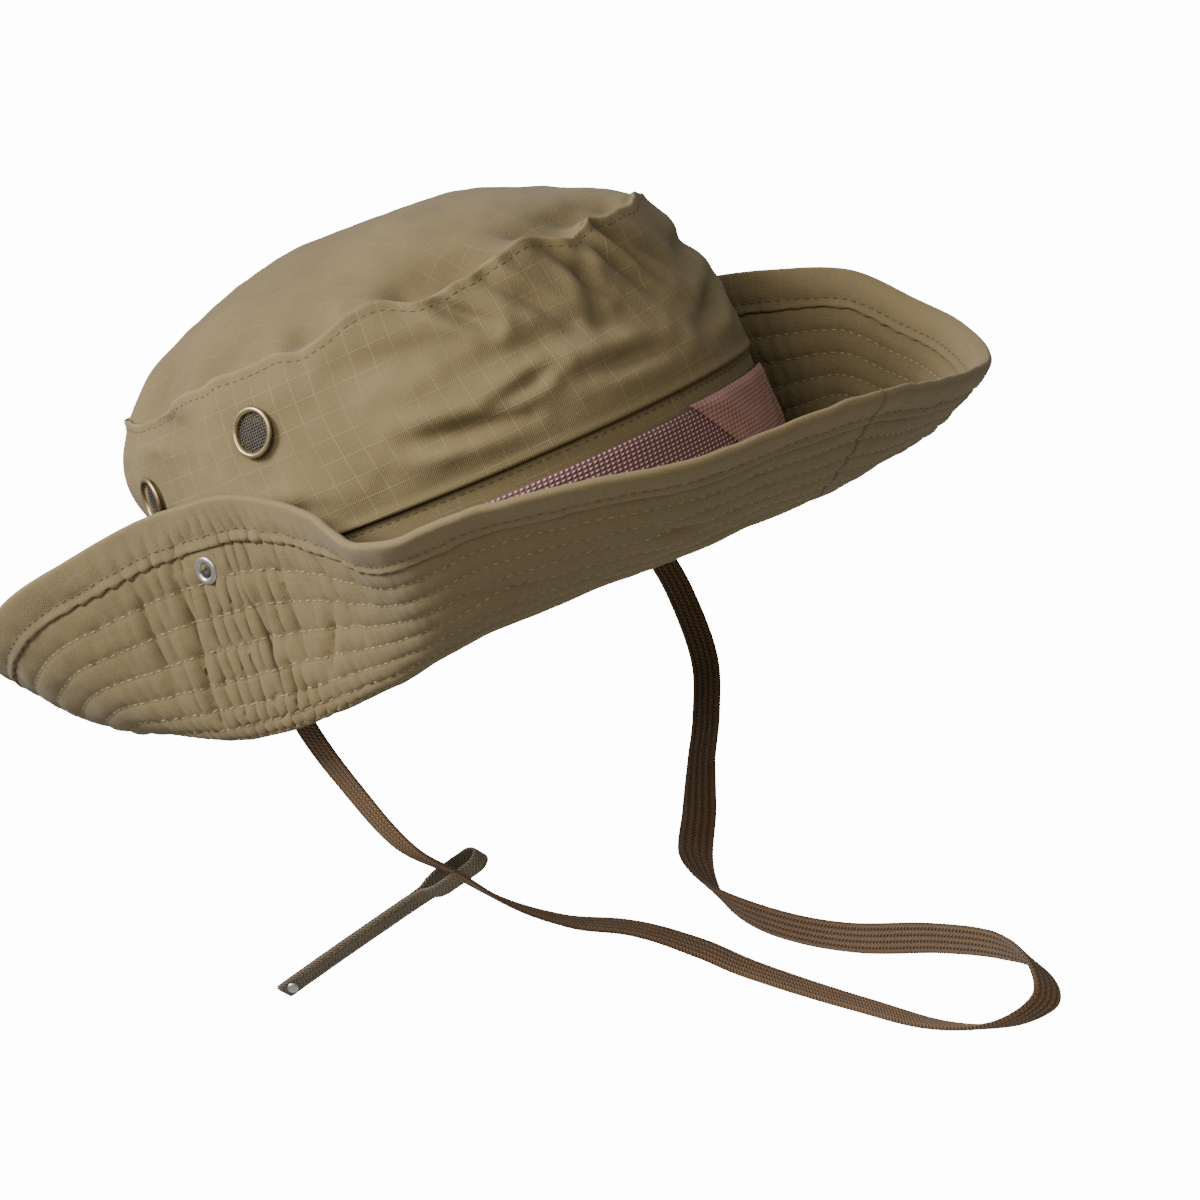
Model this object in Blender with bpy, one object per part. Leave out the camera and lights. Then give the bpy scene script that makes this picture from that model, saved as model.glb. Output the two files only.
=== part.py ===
"""A boonie hat as its sewn panels, brim layers, metal hardware and chin lace.

Frame: the origin is the centre of the head opening, +Z is up through the crown, -Y is the front and
+X is the wearer's left. Constants are in millimetres and degrees. Angles round the hat start at the
front and grow towards the wearer's right.
"""

import math

import bmesh
import bpy
from mathutils import Matrix, Vector

MM = 0.001
GAP = 0.3  # between pieces that touch on the real hat

# Head opening and crown
HALF_WIDTH = 88.0
HALF_LENGTH = 102.0
CLOTH = 0.9
CROWN_FOOT_Z = 35.0
CROWN_SEAM_Z = 90.0
CROWN_SWELL = 1.8
CROWN_TAPER = 8.3
CROWN_LEAN = 7.0
BACK_SEAM = 0.12  # half the opening between the wall panel's ends, in degrees
DOME_RISE = 25.0
DOME_POWER = 2.3
BASE_BAND_Z = (2.4, 34.5)
SWEATBAND_Z = (2.4, 33.0)
SWEATBAND_INSET = 2.4
SWEATBAND_THICK = 1.2
WEBBING_Z = (4.5, 28.5)
WEBBING_THICK = 1.5
WEBBING_END_ANGLE = -38.0
WEBBING_JOIN = 1.2
ROUND_STEPS = 48

# Brim
BRIM_LAYERS = {"upper_cloth": (0.6, 1.3), "interlining": (-0.2, 0.2), "lower_cloth": (-1.3, -0.6)}
FRONT_STEPS = 21
BACK_STEPS = 17
FLAP_STEPS = 12
BINDING_SHARE = 0.857  # where the binding's inner edge lies across the brim
BINDING_FACES = (1.6, 2.3)
BRIM_SHARES = (0.0, 0.12, 0.28, 0.46, 0.66, BINDING_SHARE, 1.0)
FLAP_SHARES = (0.04, 0.14, 0.28, 0.46, 0.66, BINDING_SHARE, 1.0)
FLAP_ANGLES = (66.0, 116.0)
FLAP_SIDE_GAP = 0.7  # degrees between the cut and the fixed brim
FLAP_FRONT_GAP = 1.2  # and between the cut and each end of the flap, so that it swings clear
FLAP_BACK_GAP = 2.4
REACH_FLAT = 74.0
# The brim's outer edge, from the front round by the wearer's right side, as it sits snapped up.
BRIM_EDGE = (
    (0, -177, 17),
    (-35, -172, 22),
    (-66, -163, 26),
    (-92, -145, 33),
    (-110, -122, 36),
    (-117, -98, 34),
    (-112, -77, 36),
    (-101, -50, 43),
    (-94, -26, 51),
    (-93, -4, 57),
    (-94, 16, 58),
    (-98, 37, 58),
    (-108, 59, 55),
    (-118, 86, 50),
    (-113, 114, 40),
    (-96, 139, 29),
    (-64, 163, 15),
    (-22, 175, 8),
    (22, 175, 8),
    (62, 162, 15),
    (94, 139, 26),
    (112, 114, 37),
    (117, 88, 48),
    (108, 60, 54),
    (98, 37, 57),
    (94, 14, 58),
    (93, -8, 57),
    (95, -32, 55),
    (101, -55, 50),
    (111, -78, 41),
    (112, -98, 26),
    (105, -118, 16),
    (86, -141, 8),
    (58, -160, 7),
    (30, -171, 10),
)

# Vents and snaps
VENTS = {"front": (75.5, 71.5), "rear": (111.5, 62.0)}
VENT_BORE = 6.4
VENT_SAG = 0.9
SNAP_ANGLE = 99.0
SNAP_Z = 38.0
SNAP_BORE = 2.9
STUD_BORE = 1.7
CUT_DEPTH = 12.0  # of a hole cutter, well through any cloth
METAL = 0.8
RING_CLEARANCE = 0.5  # past the usual gap, because the cloth under the snap's ring is curved

# Chin lace: one flat braid from the right anchor, round a loop below, to the left anchor
LACE_RADIUS = 2.5
LACE_POINTS = 78
LACE_ROUTE = (
    (-78.6, 22, 14),
    (-78.6, 23, 2),
    (-79.6, 23, -14),
    (-78.6, 17, -36),
    (-72.2, 11.1, -62.5),
    (-60, 8.5, -78.4),
    (-47.8, 5.9, -94.3),
    (-33, 1, -108),
    (-17, -8, -119),
    (-7, -22, -132),
    (-5, -40, -143),
    (-8, -84, -158),
    (-10, -112, -166),
    (-8, -134, -168.5),
    (-1, -147.5, -165),
    (7, -141, -157),
    (10, -127, -151),
    (10, -104, -146),
    (8, -70, -141),
    (6, -42, -131),
    (9, -22, -121),
    (20, -6, -112),
    (35, 1, -101),
    (48, 5.9, -89),
    (61, 8.5, -76),
    (72, 11.1, -60),
    (78.6, 17, -36),
    (79.6, 23, -14),
    (78.6, 23, 2),
    (78.6, 22, 14),
)
ANCHOR = (3.8, 13.0, 12.0)

# Keeper: a narrow strap folded round the lace's right strand and riveted to itself
KEEPER_CENTRE = LACE_ROUTE[5]
KEEPER_LENGTH = 68.0
KEEPER_WIDTH = 6.5
KEEPER_WALL = 1.1
KEEPER_DIRECTION = (-0.58, 0.78, -0.24)
KEEPER_SLOT = 6.6
KEEPER_CLEARANCE = 0.8  # between the lace and the fold it runs in
RIVET_RADIUS = 2.0
RIVET_BORE = 1.1

COLOURS = {
    "ripstop": (0.26, 0.20, 0.11, 0.9, 0.0),
    "lining": (0.20, 0.155, 0.09, 0.95, 0.0),
    "binding": (0.30, 0.24, 0.14, 0.9, 0.0),
    "webbing": (0.10, 0.052, 0.046, 0.8, 0.0),
    "brass": (0.475, 0.418, 0.291, 0.35, 1.0),
    "mesh": (0.118, 0.11, 0.097, 0.5, 0.8),
    "steel": (0.55, 0.54, 0.50, 0.3, 1.0),
    "lace": (0.132, 0.066, 0.023, 0.85, 0.0),
    "strap": (0.06, 0.052, 0.035, 0.6, 0.0),
}


def material(name):
    """A Principled material in one of the hat's colours."""
    made = bpy.data.materials.get(name)
    if made is None:
        made = bpy.data.materials.new(name)
        made.use_nodes = True
        shader = made.node_tree.nodes["Principled BSDF"]
        red, green, blue, rough, metal = COLOURS[name]
        shader.inputs["Base Color"].default_value = (red, green, blue, 1.0)
        shader.inputs["Roughness"].default_value = rough
        shader.inputs["Metallic"].default_value = metal
    return made


def smoothstep(value):
    value = min(max(value, 0.0), 1.0)
    return value * value * (3.0 - 2.0 * value)


def to_object(name, bm, finish):
    """Make the bmesh, in millimetres, into a smooth-shaded object in metres."""
    bmesh.ops.recalc_face_normals(bm, faces=bm.faces)
    mesh = bpy.data.meshes.new(name)
    bm.to_mesh(mesh)
    bm.free()
    mesh.transform(Matrix.Scale(MM, 4))
    mesh.shade_smooth()
    mesh.set_sharp_from_angle(angle=math.radians(40))
    mesh.materials.append(material(finish))
    made = bpy.data.objects.new(name, mesh)
    bpy.context.scene.collection.objects.link(made)
    return made


def split_quad(bm, a, b, c, d):
    """Two triangles that share the diagonal from a to c, so that layers one over another bend alike."""
    bm.faces.new((a, b, c))
    bm.faces.new((a, c, d))


def cloth_solid(name, outer, inner, finish, ring=False):
    """A closed sheet between two grids of points. A ring's rows join end to end."""
    bm = bmesh.new()
    faces = [[[bm.verts.new(p) for p in row] for row in grid] for grid in (outer, inner)]
    rows, columns = len(outer), len(outer[0])
    around = rows if ring else rows - 1
    for grid in faces:
        for i in range(around):
            for j in range(columns - 1):
                k = (i + 1) % rows
                split_quad(bm, grid[i][j], grid[i][j + 1], grid[k][j + 1], grid[k][j])
    for i in range(around):
        k = (i + 1) % rows
        for j in (0, columns - 1):
            bm.faces.new((faces[0][i][j], faces[0][k][j], faces[1][k][j], faces[1][i][j]))
    if not ring:
        for i in (0, rows - 1):
            for j in range(columns - 1):
                bm.faces.new((faces[0][i][j], faces[0][i][j + 1], faces[1][i][j + 1], faces[1][i][j]))
    return to_object(name, bm, finish)


def turned(name, outline, place, finish, sides=16):
    """Turn an outline of (radius, height) about the local Z axis. It is a closed ring, or meets the axis."""
    bm = bmesh.new()
    rings = []
    for radius, height in outline:
        if radius < 1e-6:
            rings.append([bm.verts.new((0, 0, height))])
            continue
        turn = [math.tau * k / sides for k in range(sides)]
        rings.append([bm.verts.new((radius * math.cos(a), radius * math.sin(a), height)) for a in turn])
    solid = len(rings[0]) == 1
    pairs = list(zip(rings, rings[1:])) if solid else list(zip(rings, rings[1:] + rings[:1]))
    for low, high in pairs:
        for k in range(sides):
            n = (k + 1) % sides
            corners = [low[k % len(low)], low[n % len(low)], high[n % len(high)], high[k % len(high)]]
            bm.faces.new(list(dict.fromkeys(corners)))
    bmesh.ops.transform(bm, matrix=place, verts=bm.verts)
    return to_object(name, bm, finish)


def band_point(angle, grow, z, lean=0.0):
    """A point on the oval at this angle, with both half-axes grown, leaning back by lean."""
    turn = math.radians(angle)
    return Vector((-(HALF_WIDTH + grow) * math.sin(turn), lean - (HALF_LENGTH + grow) * math.cos(turn), z))


def outward(angle):
    """The oval's outward direction at this angle."""
    turn = math.radians(angle)
    return Vector((-math.sin(turn) / HALF_WIDTH, -math.cos(turn) / HALF_LENGTH, 0)).normalized()


def crown_grow(z):
    """How far the crown wall stands out from the head opening's oval at this height."""
    share = (z - CROWN_FOOT_Z) / (CROWN_SEAM_Z - CROWN_FOOT_Z)
    return 1.2 + CROWN_SWELL * math.sin(math.pi * share) - CROWN_TAPER * share**2


def crown_lean(z):
    return CROWN_LEAN * smoothstep((z - CROWN_FOOT_Z) / 40.0)


def crown_point(angle, z, depth=0.0):
    """A point on the crown wall's outer face, or depth below it."""
    return band_point(angle, crown_grow(z) - depth, z, crown_lean(z))


def crown_frame(angle, z):
    """A matrix at the crown wall's outer face whose Z axis points straight out of the cloth."""
    here = crown_point(angle, z)
    along = crown_point(angle + 1, z) - crown_point(angle - 1, z)
    up = (crown_point(angle, z + 1) - crown_point(angle, z - 1)).normalized()
    out = along.cross(up).normalized()
    if out.dot(outward(angle)) < 0:
        out = -out
    return frame_at(here, out, up)


def crown_frame_below(spot, angle):
    """The crown wall's frame whose Z axis passes through this spot. angle is near it."""
    z = spot.z
    for _ in range(12):
        place = crown_frame(angle, z)
        miss = place.inverted() @ spot
        angle -= math.degrees(miss.x / HALF_LENGTH)
        z += miss.y
    return place


def frame_at(origin, out, up):
    """A matrix at origin with Z along out and Y as near as possible to up."""
    side = up.cross(out).normalized()
    up = out.cross(side)
    return Matrix.Translation(origin) @ Matrix((side, up, out)).transposed().to_4x4()


def ring_band(name, grow, thick, heights, finish, start=0.0, sweep=360.0):
    """An upright band round the oval, whole or over part of a turn."""
    whole = sweep >= 360.0
    count = ROUND_STEPS if whole else ROUND_STEPS + 1
    angles = [start + sweep * k / ROUND_STEPS for k in range(count)]
    outer = [[band_point(a, grow + thick, z) for z in heights] for a in angles]
    inner = [[band_point(a, grow, z) for z in heights] for a in angles]
    return cloth_solid(name, outer, inner, finish, ring=whole)


def make_crown():
    """The top panel, the wall panel with its seam at the back, base band, sweatband and webbing."""
    heights = [CROWN_FOOT_Z + (CROWN_SEAM_Z - CROWN_FOOT_Z) * k / 5 for k in range(6)]
    first, last = 180.0 + BACK_SEAM, 540.0 - BACK_SEAM
    angles = [first + (last - first) * k / ROUND_STEPS for k in range(ROUND_STEPS + 1)]
    outer = [[crown_point(a, z) for z in heights] for a in angles]
    inner = [[crown_point(a, z, CLOTH) for z in heights] for a in angles]
    wall = cloth_solid("crown_wall", outer, inner, "ripstop")
    make_crown_top()
    low, high = BASE_BAND_Z
    ring_band("crown_base_band", -CLOTH, CLOTH, (low, high), "ripstop")
    ring_band("sweatband", -SWEATBAND_INSET - SWEATBAND_THICK, SWEATBAND_THICK, SWEATBAND_Z, "lining")
    sweep = 360.0 - WEBBING_JOIN
    ring_band("webbing_band", GAP + 0.1, WEBBING_THICK, WEBBING_Z, "webbing", WEBBING_END_ANGLE, sweep)
    return wall


def dome_point(angle, share, lift):
    """A point on the crown's top panel, share of the way from its peak to its seam."""
    grow = crown_grow(CROWN_SEAM_Z) + 0.6
    turn = math.radians(angle)
    x = -(HALF_WIDTH + grow) * share * math.sin(turn)
    y = -(HALF_LENGTH + grow) * share * math.cos(turn) + crown_lean(CROWN_SEAM_Z)
    return Vector((x, y, CROWN_SEAM_Z + GAP + DOME_RISE * (1.0 - share**DOME_POWER) + lift))


def make_crown_top():
    """The domed oval top panel, open underneath."""
    bm = bmesh.new()
    shares = (0.2, 0.42, 0.62, 0.8, 0.92, 1.0)
    sheets = []
    for lift, shrink in ((CLOTH, 1.0), (0.0, 1.0 - CLOTH / HALF_LENGTH)):
        rings = []
        for share in shares:
            rise = lift if share < 1 else 0.0
            turns = [360.0 * k / ROUND_STEPS for k in range(ROUND_STEPS)]
            rings.append([bm.verts.new(dome_point(a, share * shrink, rise)) for a in turns])
        peak = bm.verts.new(dome_point(0, 0, lift))
        for k in range(ROUND_STEPS):
            n = (k + 1) % ROUND_STEPS
            bm.faces.new((peak, rings[0][k], rings[0][n]))
            for low, high in zip(rings, rings[1:]):
                bm.faces.new((low[k], high[k], high[n], low[n]))
        sheets.append(rings[-1])
    for k in range(ROUND_STEPS):
        n = (k + 1) % ROUND_STEPS
        bm.faces.new((sheets[0][k], sheets[0][n], sheets[1][n], sheets[1][k]))
    return to_object("crown_top", bm, "ripstop")


def closed_curve(points, turn):
    """A smooth closed curve through points. turn runs from 0 to 1 once round."""
    count = len(points)
    place = (turn % 1.0) * count
    k = int(place)
    f = place - k
    a, b, c, d = (Vector(points[(k + step) % count]) for step in (-1, 0, 1, 2))
    return 0.5 * (2 * b + (c - a) * f + (2 * a - 5 * b + 4 * c - d) * f**2 + (3 * b - a - 3 * c + d) * f**3)


def brim_station(turn):
    """The root angle and the outer edge point of the brim at this share of a turn."""
    edge = closed_curve(BRIM_EDGE, turn)
    flat_x, flat_y = HALF_WIDTH + REACH_FLAT, HALF_LENGTH + REACH_FLAT
    return math.degrees(math.atan2(-edge.x / flat_x, -edge.y / flat_y)) % 360.0, edge


def brim_point(turn, share):
    """A point on the brim's middle surface: it sinks from its seam, then curls up to its outer edge."""
    angle, edge = brim_station(turn)
    root = band_point(angle, 0.2, -0.4)
    flat = edge - root
    reach = math.hypot(flat.x, flat.y)
    openness = smoothstep(reach / REACH_FLAT)
    away = outward(angle)
    hang = smoothstep((min(angle, 360.0 - angle) - 55.0) / 40.0)
    sink = math.radians(50.0 - 22.0 * openness + hang * (16.0 - 4.0 * openness))
    rise = math.radians(79.0 - 47.0 * openness + 28.0 * hang * openness)
    handle = 37.0 - 6.0 * openness + hang * (13.0 - 2.0 * openness)
    first = root + handle * (away * math.cos(sink) - Vector((0, 0, math.sin(sink))))
    last = edge - 26.0 * (away * math.cos(rise) + Vector((0, 0, math.sin(rise))))
    rest = 1.0 - share
    return rest**3 * root + 3 * rest**2 * share * first + 3 * rest * share**2 * last + share**3 * edge


def brim_normal(turn, share):
    """The brim's upper-face direction: up where it is flat, towards the crown where it is turned up."""
    step = 0.002
    low, high = max(share - 0.01, 0.0), min(share + 0.01, 1.0)
    across = brim_point(turn, high) - brim_point(turn, low)
    along = brim_point(turn + step, share) - brim_point(turn - step, share)
    return along.cross(across).normalized()


def brim_face(turn, share, lift):
    return brim_point(turn, share) + lift * brim_normal(turn, share)


def turn_at(angle):
    """The share of a turn at which the brim's root is at this angle."""
    low, high = 0.0, 1.0 - 1e-9
    for _ in range(40):
        middle = (low + high) / 2
        here = brim_station(middle)[0]
        if here > 359.0 and middle < 0.5:
            here = 0.0
        low, high = (middle, high) if here < angle else (low, middle)
    return low


def brim_sectors():
    """The turns at which each flap starts and ends, for the wearer's right and left."""
    first, last = FLAP_ANGLES
    return {"right": (turn_at(first), turn_at(last)), "left": (turn_at(360 - last), turn_at(360 - first))}


def spread(first, last, count):
    return [first + (last - first) * k / (count - 1) for k in range(count)]


def brim_rows(sectors):
    """Where each sector's rows are, as shares of a turn: the fixed front and back, and the two flaps."""
    side, front, back = (gap / 360.0 for gap in (FLAP_SIDE_GAP, FLAP_FRONT_GAP, FLAP_BACK_GAP))
    (right_first, right_last), (left_first, left_last) = sectors["right"], sectors["left"]
    return {
        "brim_front": spread(left_last + side, 1.0 + right_first - side, FRONT_STEPS),
        "brim_back": spread(right_last + side, left_first - side, BACK_STEPS),
        "flap_right": spread(right_first + front, right_last - back, FLAP_STEPS),
        "flap_left": spread(left_first + back, left_last - front, FLAP_STEPS),
    }


def make_brim_layers(rows):
    """The three sewn layers of each sector of the brim."""
    made = {}
    for sector, turns in rows.items():
        shares = FLAP_SHARES if sector.startswith("flap") else BRIM_SHARES
        for layer, faces in BRIM_LAYERS.items():
            name = f"{sector}_{layer}"
            low, high = ([[brim_face(t, s, lift) for s in shares] for t in turns] for lift in faces)
            made[name] = cloth_solid(name, high, low, "lining" if layer == "interlining" else "ripstop")
    return made


def binding_section(turn):
    """The folded binding's U-shaped section round the brim's edge."""
    inner, outer = BINDING_FACES
    edge = brim_point(turn, 1.0)
    across = (edge - brim_point(turn, 0.97)).normalized()
    up = brim_normal(turn, 1.0)
    back = BINDING_SHARE
    tip, mouth = edge + across * 1.4, edge + across * 0.5
    rounds = [tip + up * outer * 0.55, tip - up * outer * 0.55]
    over = [brim_face(turn, s, outer) for s in (back, 1.0)]
    under = [brim_face(turn, s, -outer) for s in (1.0, back)]
    inside_low = [brim_face(turn, back, -inner), mouth - up * inner]
    inside_high = [mouth + up * inner, brim_face(turn, back, inner)]
    return over + rounds + under + inside_low + inside_high


def make_binding(name, turns):
    """The length of binding on one sector, closed at both ends."""
    bm = bmesh.new()
    rings = [[bm.verts.new(p) for p in binding_section(t)] for t in turns]
    size = len(rings[0])
    inward = (4, 8)  # the stretches of the section that run from the edge back towards the crown
    for low, high in zip(rings, rings[1:]):
        for k in range(size):
            n = (k + 1) % size
            if k in inward:
                split_quad(bm, low[n], low[k], high[k], high[n])
            else:
                split_quad(bm, low[k], low[n], high[n], high[k])
    bm.faces.new(rings[0])
    bm.faces.new(rings[-1])
    return to_object(name, bm, "binding")


def cut(target, cutter_place, radius, depth):
    """Cut a round hole through a cloth solid."""
    bm = bmesh.new()
    bmesh.ops.create_cone(bm, cap_ends=True, segments=20, radius1=radius, radius2=radius, depth=depth,
                          matrix=cutter_place)
    cutter = to_object("hole_cutter", bm, "lining")
    modifier = target.modifiers.new("hole", "BOOLEAN")
    modifier.operation = "DIFFERENCE"
    modifier.solver = "EXACT"
    modifier.object = cutter
    cutter.hide_render = True
    cutter.display_type = "WIRE"


def make_vent(side, which, wall):
    """A screened vent: rim and barrel outside, mesh disc, and washer inside the cloth."""
    angle, z = VENTS[which]
    place = crown_frame(angle if side == "right" else 360.0 - angle, z)
    cut(wall, place, VENT_BORE, CUT_DEPTH)
    name = f"vent_{side}_{which}"
    base = GAP + 0.3
    foot = -(CLOTH + VENT_SAG + GAP + METAL)
    rim = [(5.5, foot), (6.0, foot), (6.0, base), (8.0, base), (8.1, base + 0.5), (7.6, base + 1.1),
           (6.4, base + 1.2), (5.5, base + 0.7)]
    turned(f"{name}_rim", rim, place, "brass")
    turned(f"{name}_mesh", [(0, -0.6), (5.2, -0.6), (5.2, -0.1), (0, 0.25)], place, "mesh")
    washer = [(6.3, foot + 0.1), (8.0, foot + 0.1), (8.0, foot + METAL), (6.3, foot + METAL)]
    turned(f"{name}_washer", washer, place, "brass")


def make_snap(side, wall, flap_layers, turn):
    """A press snap: stud and backing on the crown wall, socket and ring on the brim flap."""
    share = flap_share_at(turn, SNAP_Z)
    spot = brim_point(turn, share)
    up = brim_normal(turn, share)
    brim = frame_at(spot, up, Vector((0, 0, 1)))
    crown = crown_frame_below(spot, SNAP_ANGLE if side == "right" else 360.0 - SNAP_ANGLE)
    cut(wall, crown, STUD_BORE, CUT_DEPTH)
    foot = -(CLOTH + VENT_SAG + GAP + METAL)
    stud = [(0, foot), (1.2, foot), (1.2, 0.5), (3.6, 0.5), (3.8, 0.8), (1.7, 1.2), (1.6, 1.8), (0, 2.1)]
    turned(f"snap_{side}_stud", stud, crown, "brass")
    backing = [(1.5, foot), (3.2, foot), (3.2, foot + METAL), (1.5, foot + METAL)]
    turned(f"snap_{side}_backing", backing, crown, "brass")
    for layer in flap_layers:
        cut(layer, brim, SNAP_BORE, CUT_DEPTH)
    top = BRIM_LAYERS["upper_cloth"][1] + GAP
    socket = [(2.9, top), (4.8, top), (4.8, top + 0.7), (4.0, top + 1.1), (2.9, top + 1.1)]
    turned(f"snap_{side}_socket", socket, brim, "brass")
    low = -top - RING_CLEARANCE
    ring = [(2.2, top), (2.55, top), (2.55, low), (4.5, low), (4.7, low - 0.4), (4.1, low - 1.0),
            (3.0, low - 1.1), (2.2, low - 0.6)]
    turned(f"snap_{side}_ring", ring, brim, "steel")


def flap_share_at(turn, z):
    """How far across the brim its middle surface reaches this height."""
    low, high = FLAP_SHARES[1], 1.0
    for _ in range(40):
        middle = (low + high) / 2
        low, high = (middle, high) if brim_point(turn, middle).z < z else (low, middle)
    return low


def open_curve(points, place):
    """A smooth open curve through points, at place from 0 to the last point's index."""
    last = len(points) - 1
    k = min(int(place), last - 1)
    f = place - k
    a, b, c, d = (Vector(points[min(max(k + step, 0), last)]) for step in (-1, 0, 1, 2))
    return 0.5 * (2 * b + (c - a) * f + (2 * a - 5 * b + 4 * c - d) * f**2 + (3 * b - a - 3 * c + d) * f**3)


def make_lace():
    """The chin lace as a plain tube along its route, and the tab that holds each end to the sweatband."""
    curve = bpy.data.curves.new("chin_lace", "CURVE")
    curve.dimensions = "3D"
    curve.bevel_depth = LACE_RADIUS * MM
    curve.bevel_resolution = 2
    curve.use_fill_caps = True
    curve.render_resolution_u = 0
    spline = curve.splines.new("POLY")
    spline.points.add(LACE_POINTS - 1)
    last = len(LACE_ROUTE) - 1
    for point, place in zip(spline.points, spread(0.0, last, LACE_POINTS)):
        point.co = (*(open_curve(LACE_ROUTE, place) * MM), 1.0)
    curve.materials.append(material("lace"))
    made = bpy.data.objects.new("chin_lace", curve)
    bpy.context.scene.collection.objects.link(made)
    for side, end in (("right", LACE_ROUTE[0]), ("left", LACE_ROUTE[-1])):
        bm = bmesh.new()
        bmesh.ops.create_cube(bm, size=1.0)
        bmesh.ops.scale(bm, vec=ANCHOR, verts=bm.verts)
        centre = Vector(end) + Vector((0, 0, ANCHOR[2] / 2 + GAP))
        bmesh.ops.translate(bm, vec=centre, verts=bm.verts)
        to_object(f"lace_anchor_{side}", bm, "lining")


def keeper_frame():
    """Axes of the keeper: along the strap, through its thickness, and along the lace."""
    before, after = Vector(LACE_ROUTE[4]), Vector(LACE_ROUTE[6])
    lace = (after - before).normalized()
    strap = Vector(KEEPER_DIRECTION).normalized()
    return strap, lace.cross(strap).normalized(), lace


def make_keeper():
    """The strap, folded into a slot round the lace and closed flat, with its rivet."""
    strap, thick, lace = keeper_frame()
    centre = Vector(KEEPER_CENTRE)
    inner = LACE_RADIUS + KEEPER_CLEARANCE
    outer = inner + KEEPER_WALL
    flat = KEEPER_WALL + 0.1
    turns = [math.pi / 2 + math.pi * k / 8 for k in range(9)]
    outline = [(-KEEPER_SLOT + outer * math.cos(a), outer * math.sin(a)) for a in turns]
    outline += [(KEEPER_SLOT - 1, -outer), (KEEPER_SLOT + 8, -flat), (KEEPER_LENGTH, -flat),
                (KEEPER_LENGTH, flat), (KEEPER_SLOT + 8, flat), (KEEPER_SLOT - 1, outer)]
    hole = [(-KEEPER_SLOT + inner * math.cos(a), inner * math.sin(a)) for a in turns]
    hole += [(KEEPER_SLOT - 1.2, -inner), (KEEPER_SLOT + 5, -0.15), (KEEPER_SLOT + 5, 0.15),
             (KEEPER_SLOT - 1.2, inner)]
    bm = bmesh.new()
    sides = []
    for offset in (-KEEPER_WIDTH / 2, KEEPER_WIDTH / 2):
        loops = []
        for points in (outline, hole):
            ring = [bm.verts.new(centre + strap * a + thick * b + lace * offset) for a, b in points]
            loops.append(ring)
        edges = []
        for ring in loops:
            edges += [bm.edges.new((ring[k - 1], ring[k])) for k in range(len(ring))]
        bmesh.ops.triangle_fill(bm, edges=edges, use_beauty=True)
        sides.append(loops)
    for near, far in zip(*sides):
        for k in range(len(near)):
            n = (k + 1) % len(near)
            bm.faces.new((near[k], near[n], far[n], far[k]))
    keeper = to_object("lace_keeper", bm, "strap")
    spot = centre + strap * (KEEPER_LENGTH - 4.0)
    place = frame_at(spot, thick, lace)
    cut(keeper, place, RIVET_BORE, CUT_DEPTH)
    top = flat + GAP
    profile = [(0, -top - 0.8), (1.4, -top - 0.6), (RIVET_RADIUS, -top), (0.8, -top), (0.8, top),
               (RIVET_RADIUS, top), (1.4, top + 0.6), (0, top + 0.8)]
    turned("keeper_rivet", profile, place, "steel")


def main():
    for old in list(bpy.data.objects):
        bpy.data.objects.remove(old)
    wall = make_crown()
    sectors = brim_sectors()
    rows = brim_rows(sectors)
    layers = make_brim_layers(rows)
    for sector, turns in rows.items():
        make_binding(sector + "_binding", turns)
    for side in ("right", "left"):
        for which in VENTS:
            make_vent(side, which, wall)
        angle = SNAP_ANGLE if side == "right" else 360.0 - SNAP_ANGLE
        flap = [layers[f"flap_{side}_{layer}"] for layer in BRIM_LAYERS]
        make_snap(side, wall, flap, turn_at(angle))
    make_lace()
    make_keeper()


main()
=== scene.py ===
"""A boonie hat: puckered quilted brim, creased ripstop crown, vents, snaps, woven band and chin lace.

Lengths are in millimetres and angles in degrees until a mesh is made. Angles round the hat start at
the front and grow towards the wearer's right; +Z is up through the crown and -Y is the front.
"""

from functools import partialmethod
import math

import bmesh
import bpy
import numpy as np
from mathutils import Matrix, Vector


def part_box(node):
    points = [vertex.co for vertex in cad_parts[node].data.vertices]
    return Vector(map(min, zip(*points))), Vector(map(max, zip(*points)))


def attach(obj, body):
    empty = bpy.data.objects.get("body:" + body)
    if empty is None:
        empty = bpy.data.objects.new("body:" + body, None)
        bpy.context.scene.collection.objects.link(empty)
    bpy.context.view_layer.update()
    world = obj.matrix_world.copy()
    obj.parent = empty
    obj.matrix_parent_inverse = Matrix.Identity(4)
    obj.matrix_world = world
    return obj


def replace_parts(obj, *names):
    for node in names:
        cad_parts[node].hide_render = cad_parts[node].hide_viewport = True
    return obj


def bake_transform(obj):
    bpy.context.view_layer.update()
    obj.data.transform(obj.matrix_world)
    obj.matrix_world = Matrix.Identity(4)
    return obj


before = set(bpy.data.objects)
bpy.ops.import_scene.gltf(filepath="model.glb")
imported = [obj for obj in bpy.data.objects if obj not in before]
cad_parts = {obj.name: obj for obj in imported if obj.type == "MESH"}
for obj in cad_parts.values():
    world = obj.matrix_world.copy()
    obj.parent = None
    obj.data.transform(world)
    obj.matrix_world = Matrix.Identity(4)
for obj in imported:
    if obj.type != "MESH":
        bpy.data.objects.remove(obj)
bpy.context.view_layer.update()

MM = 0.001
UP = np.array([0, 0, 1])

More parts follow.
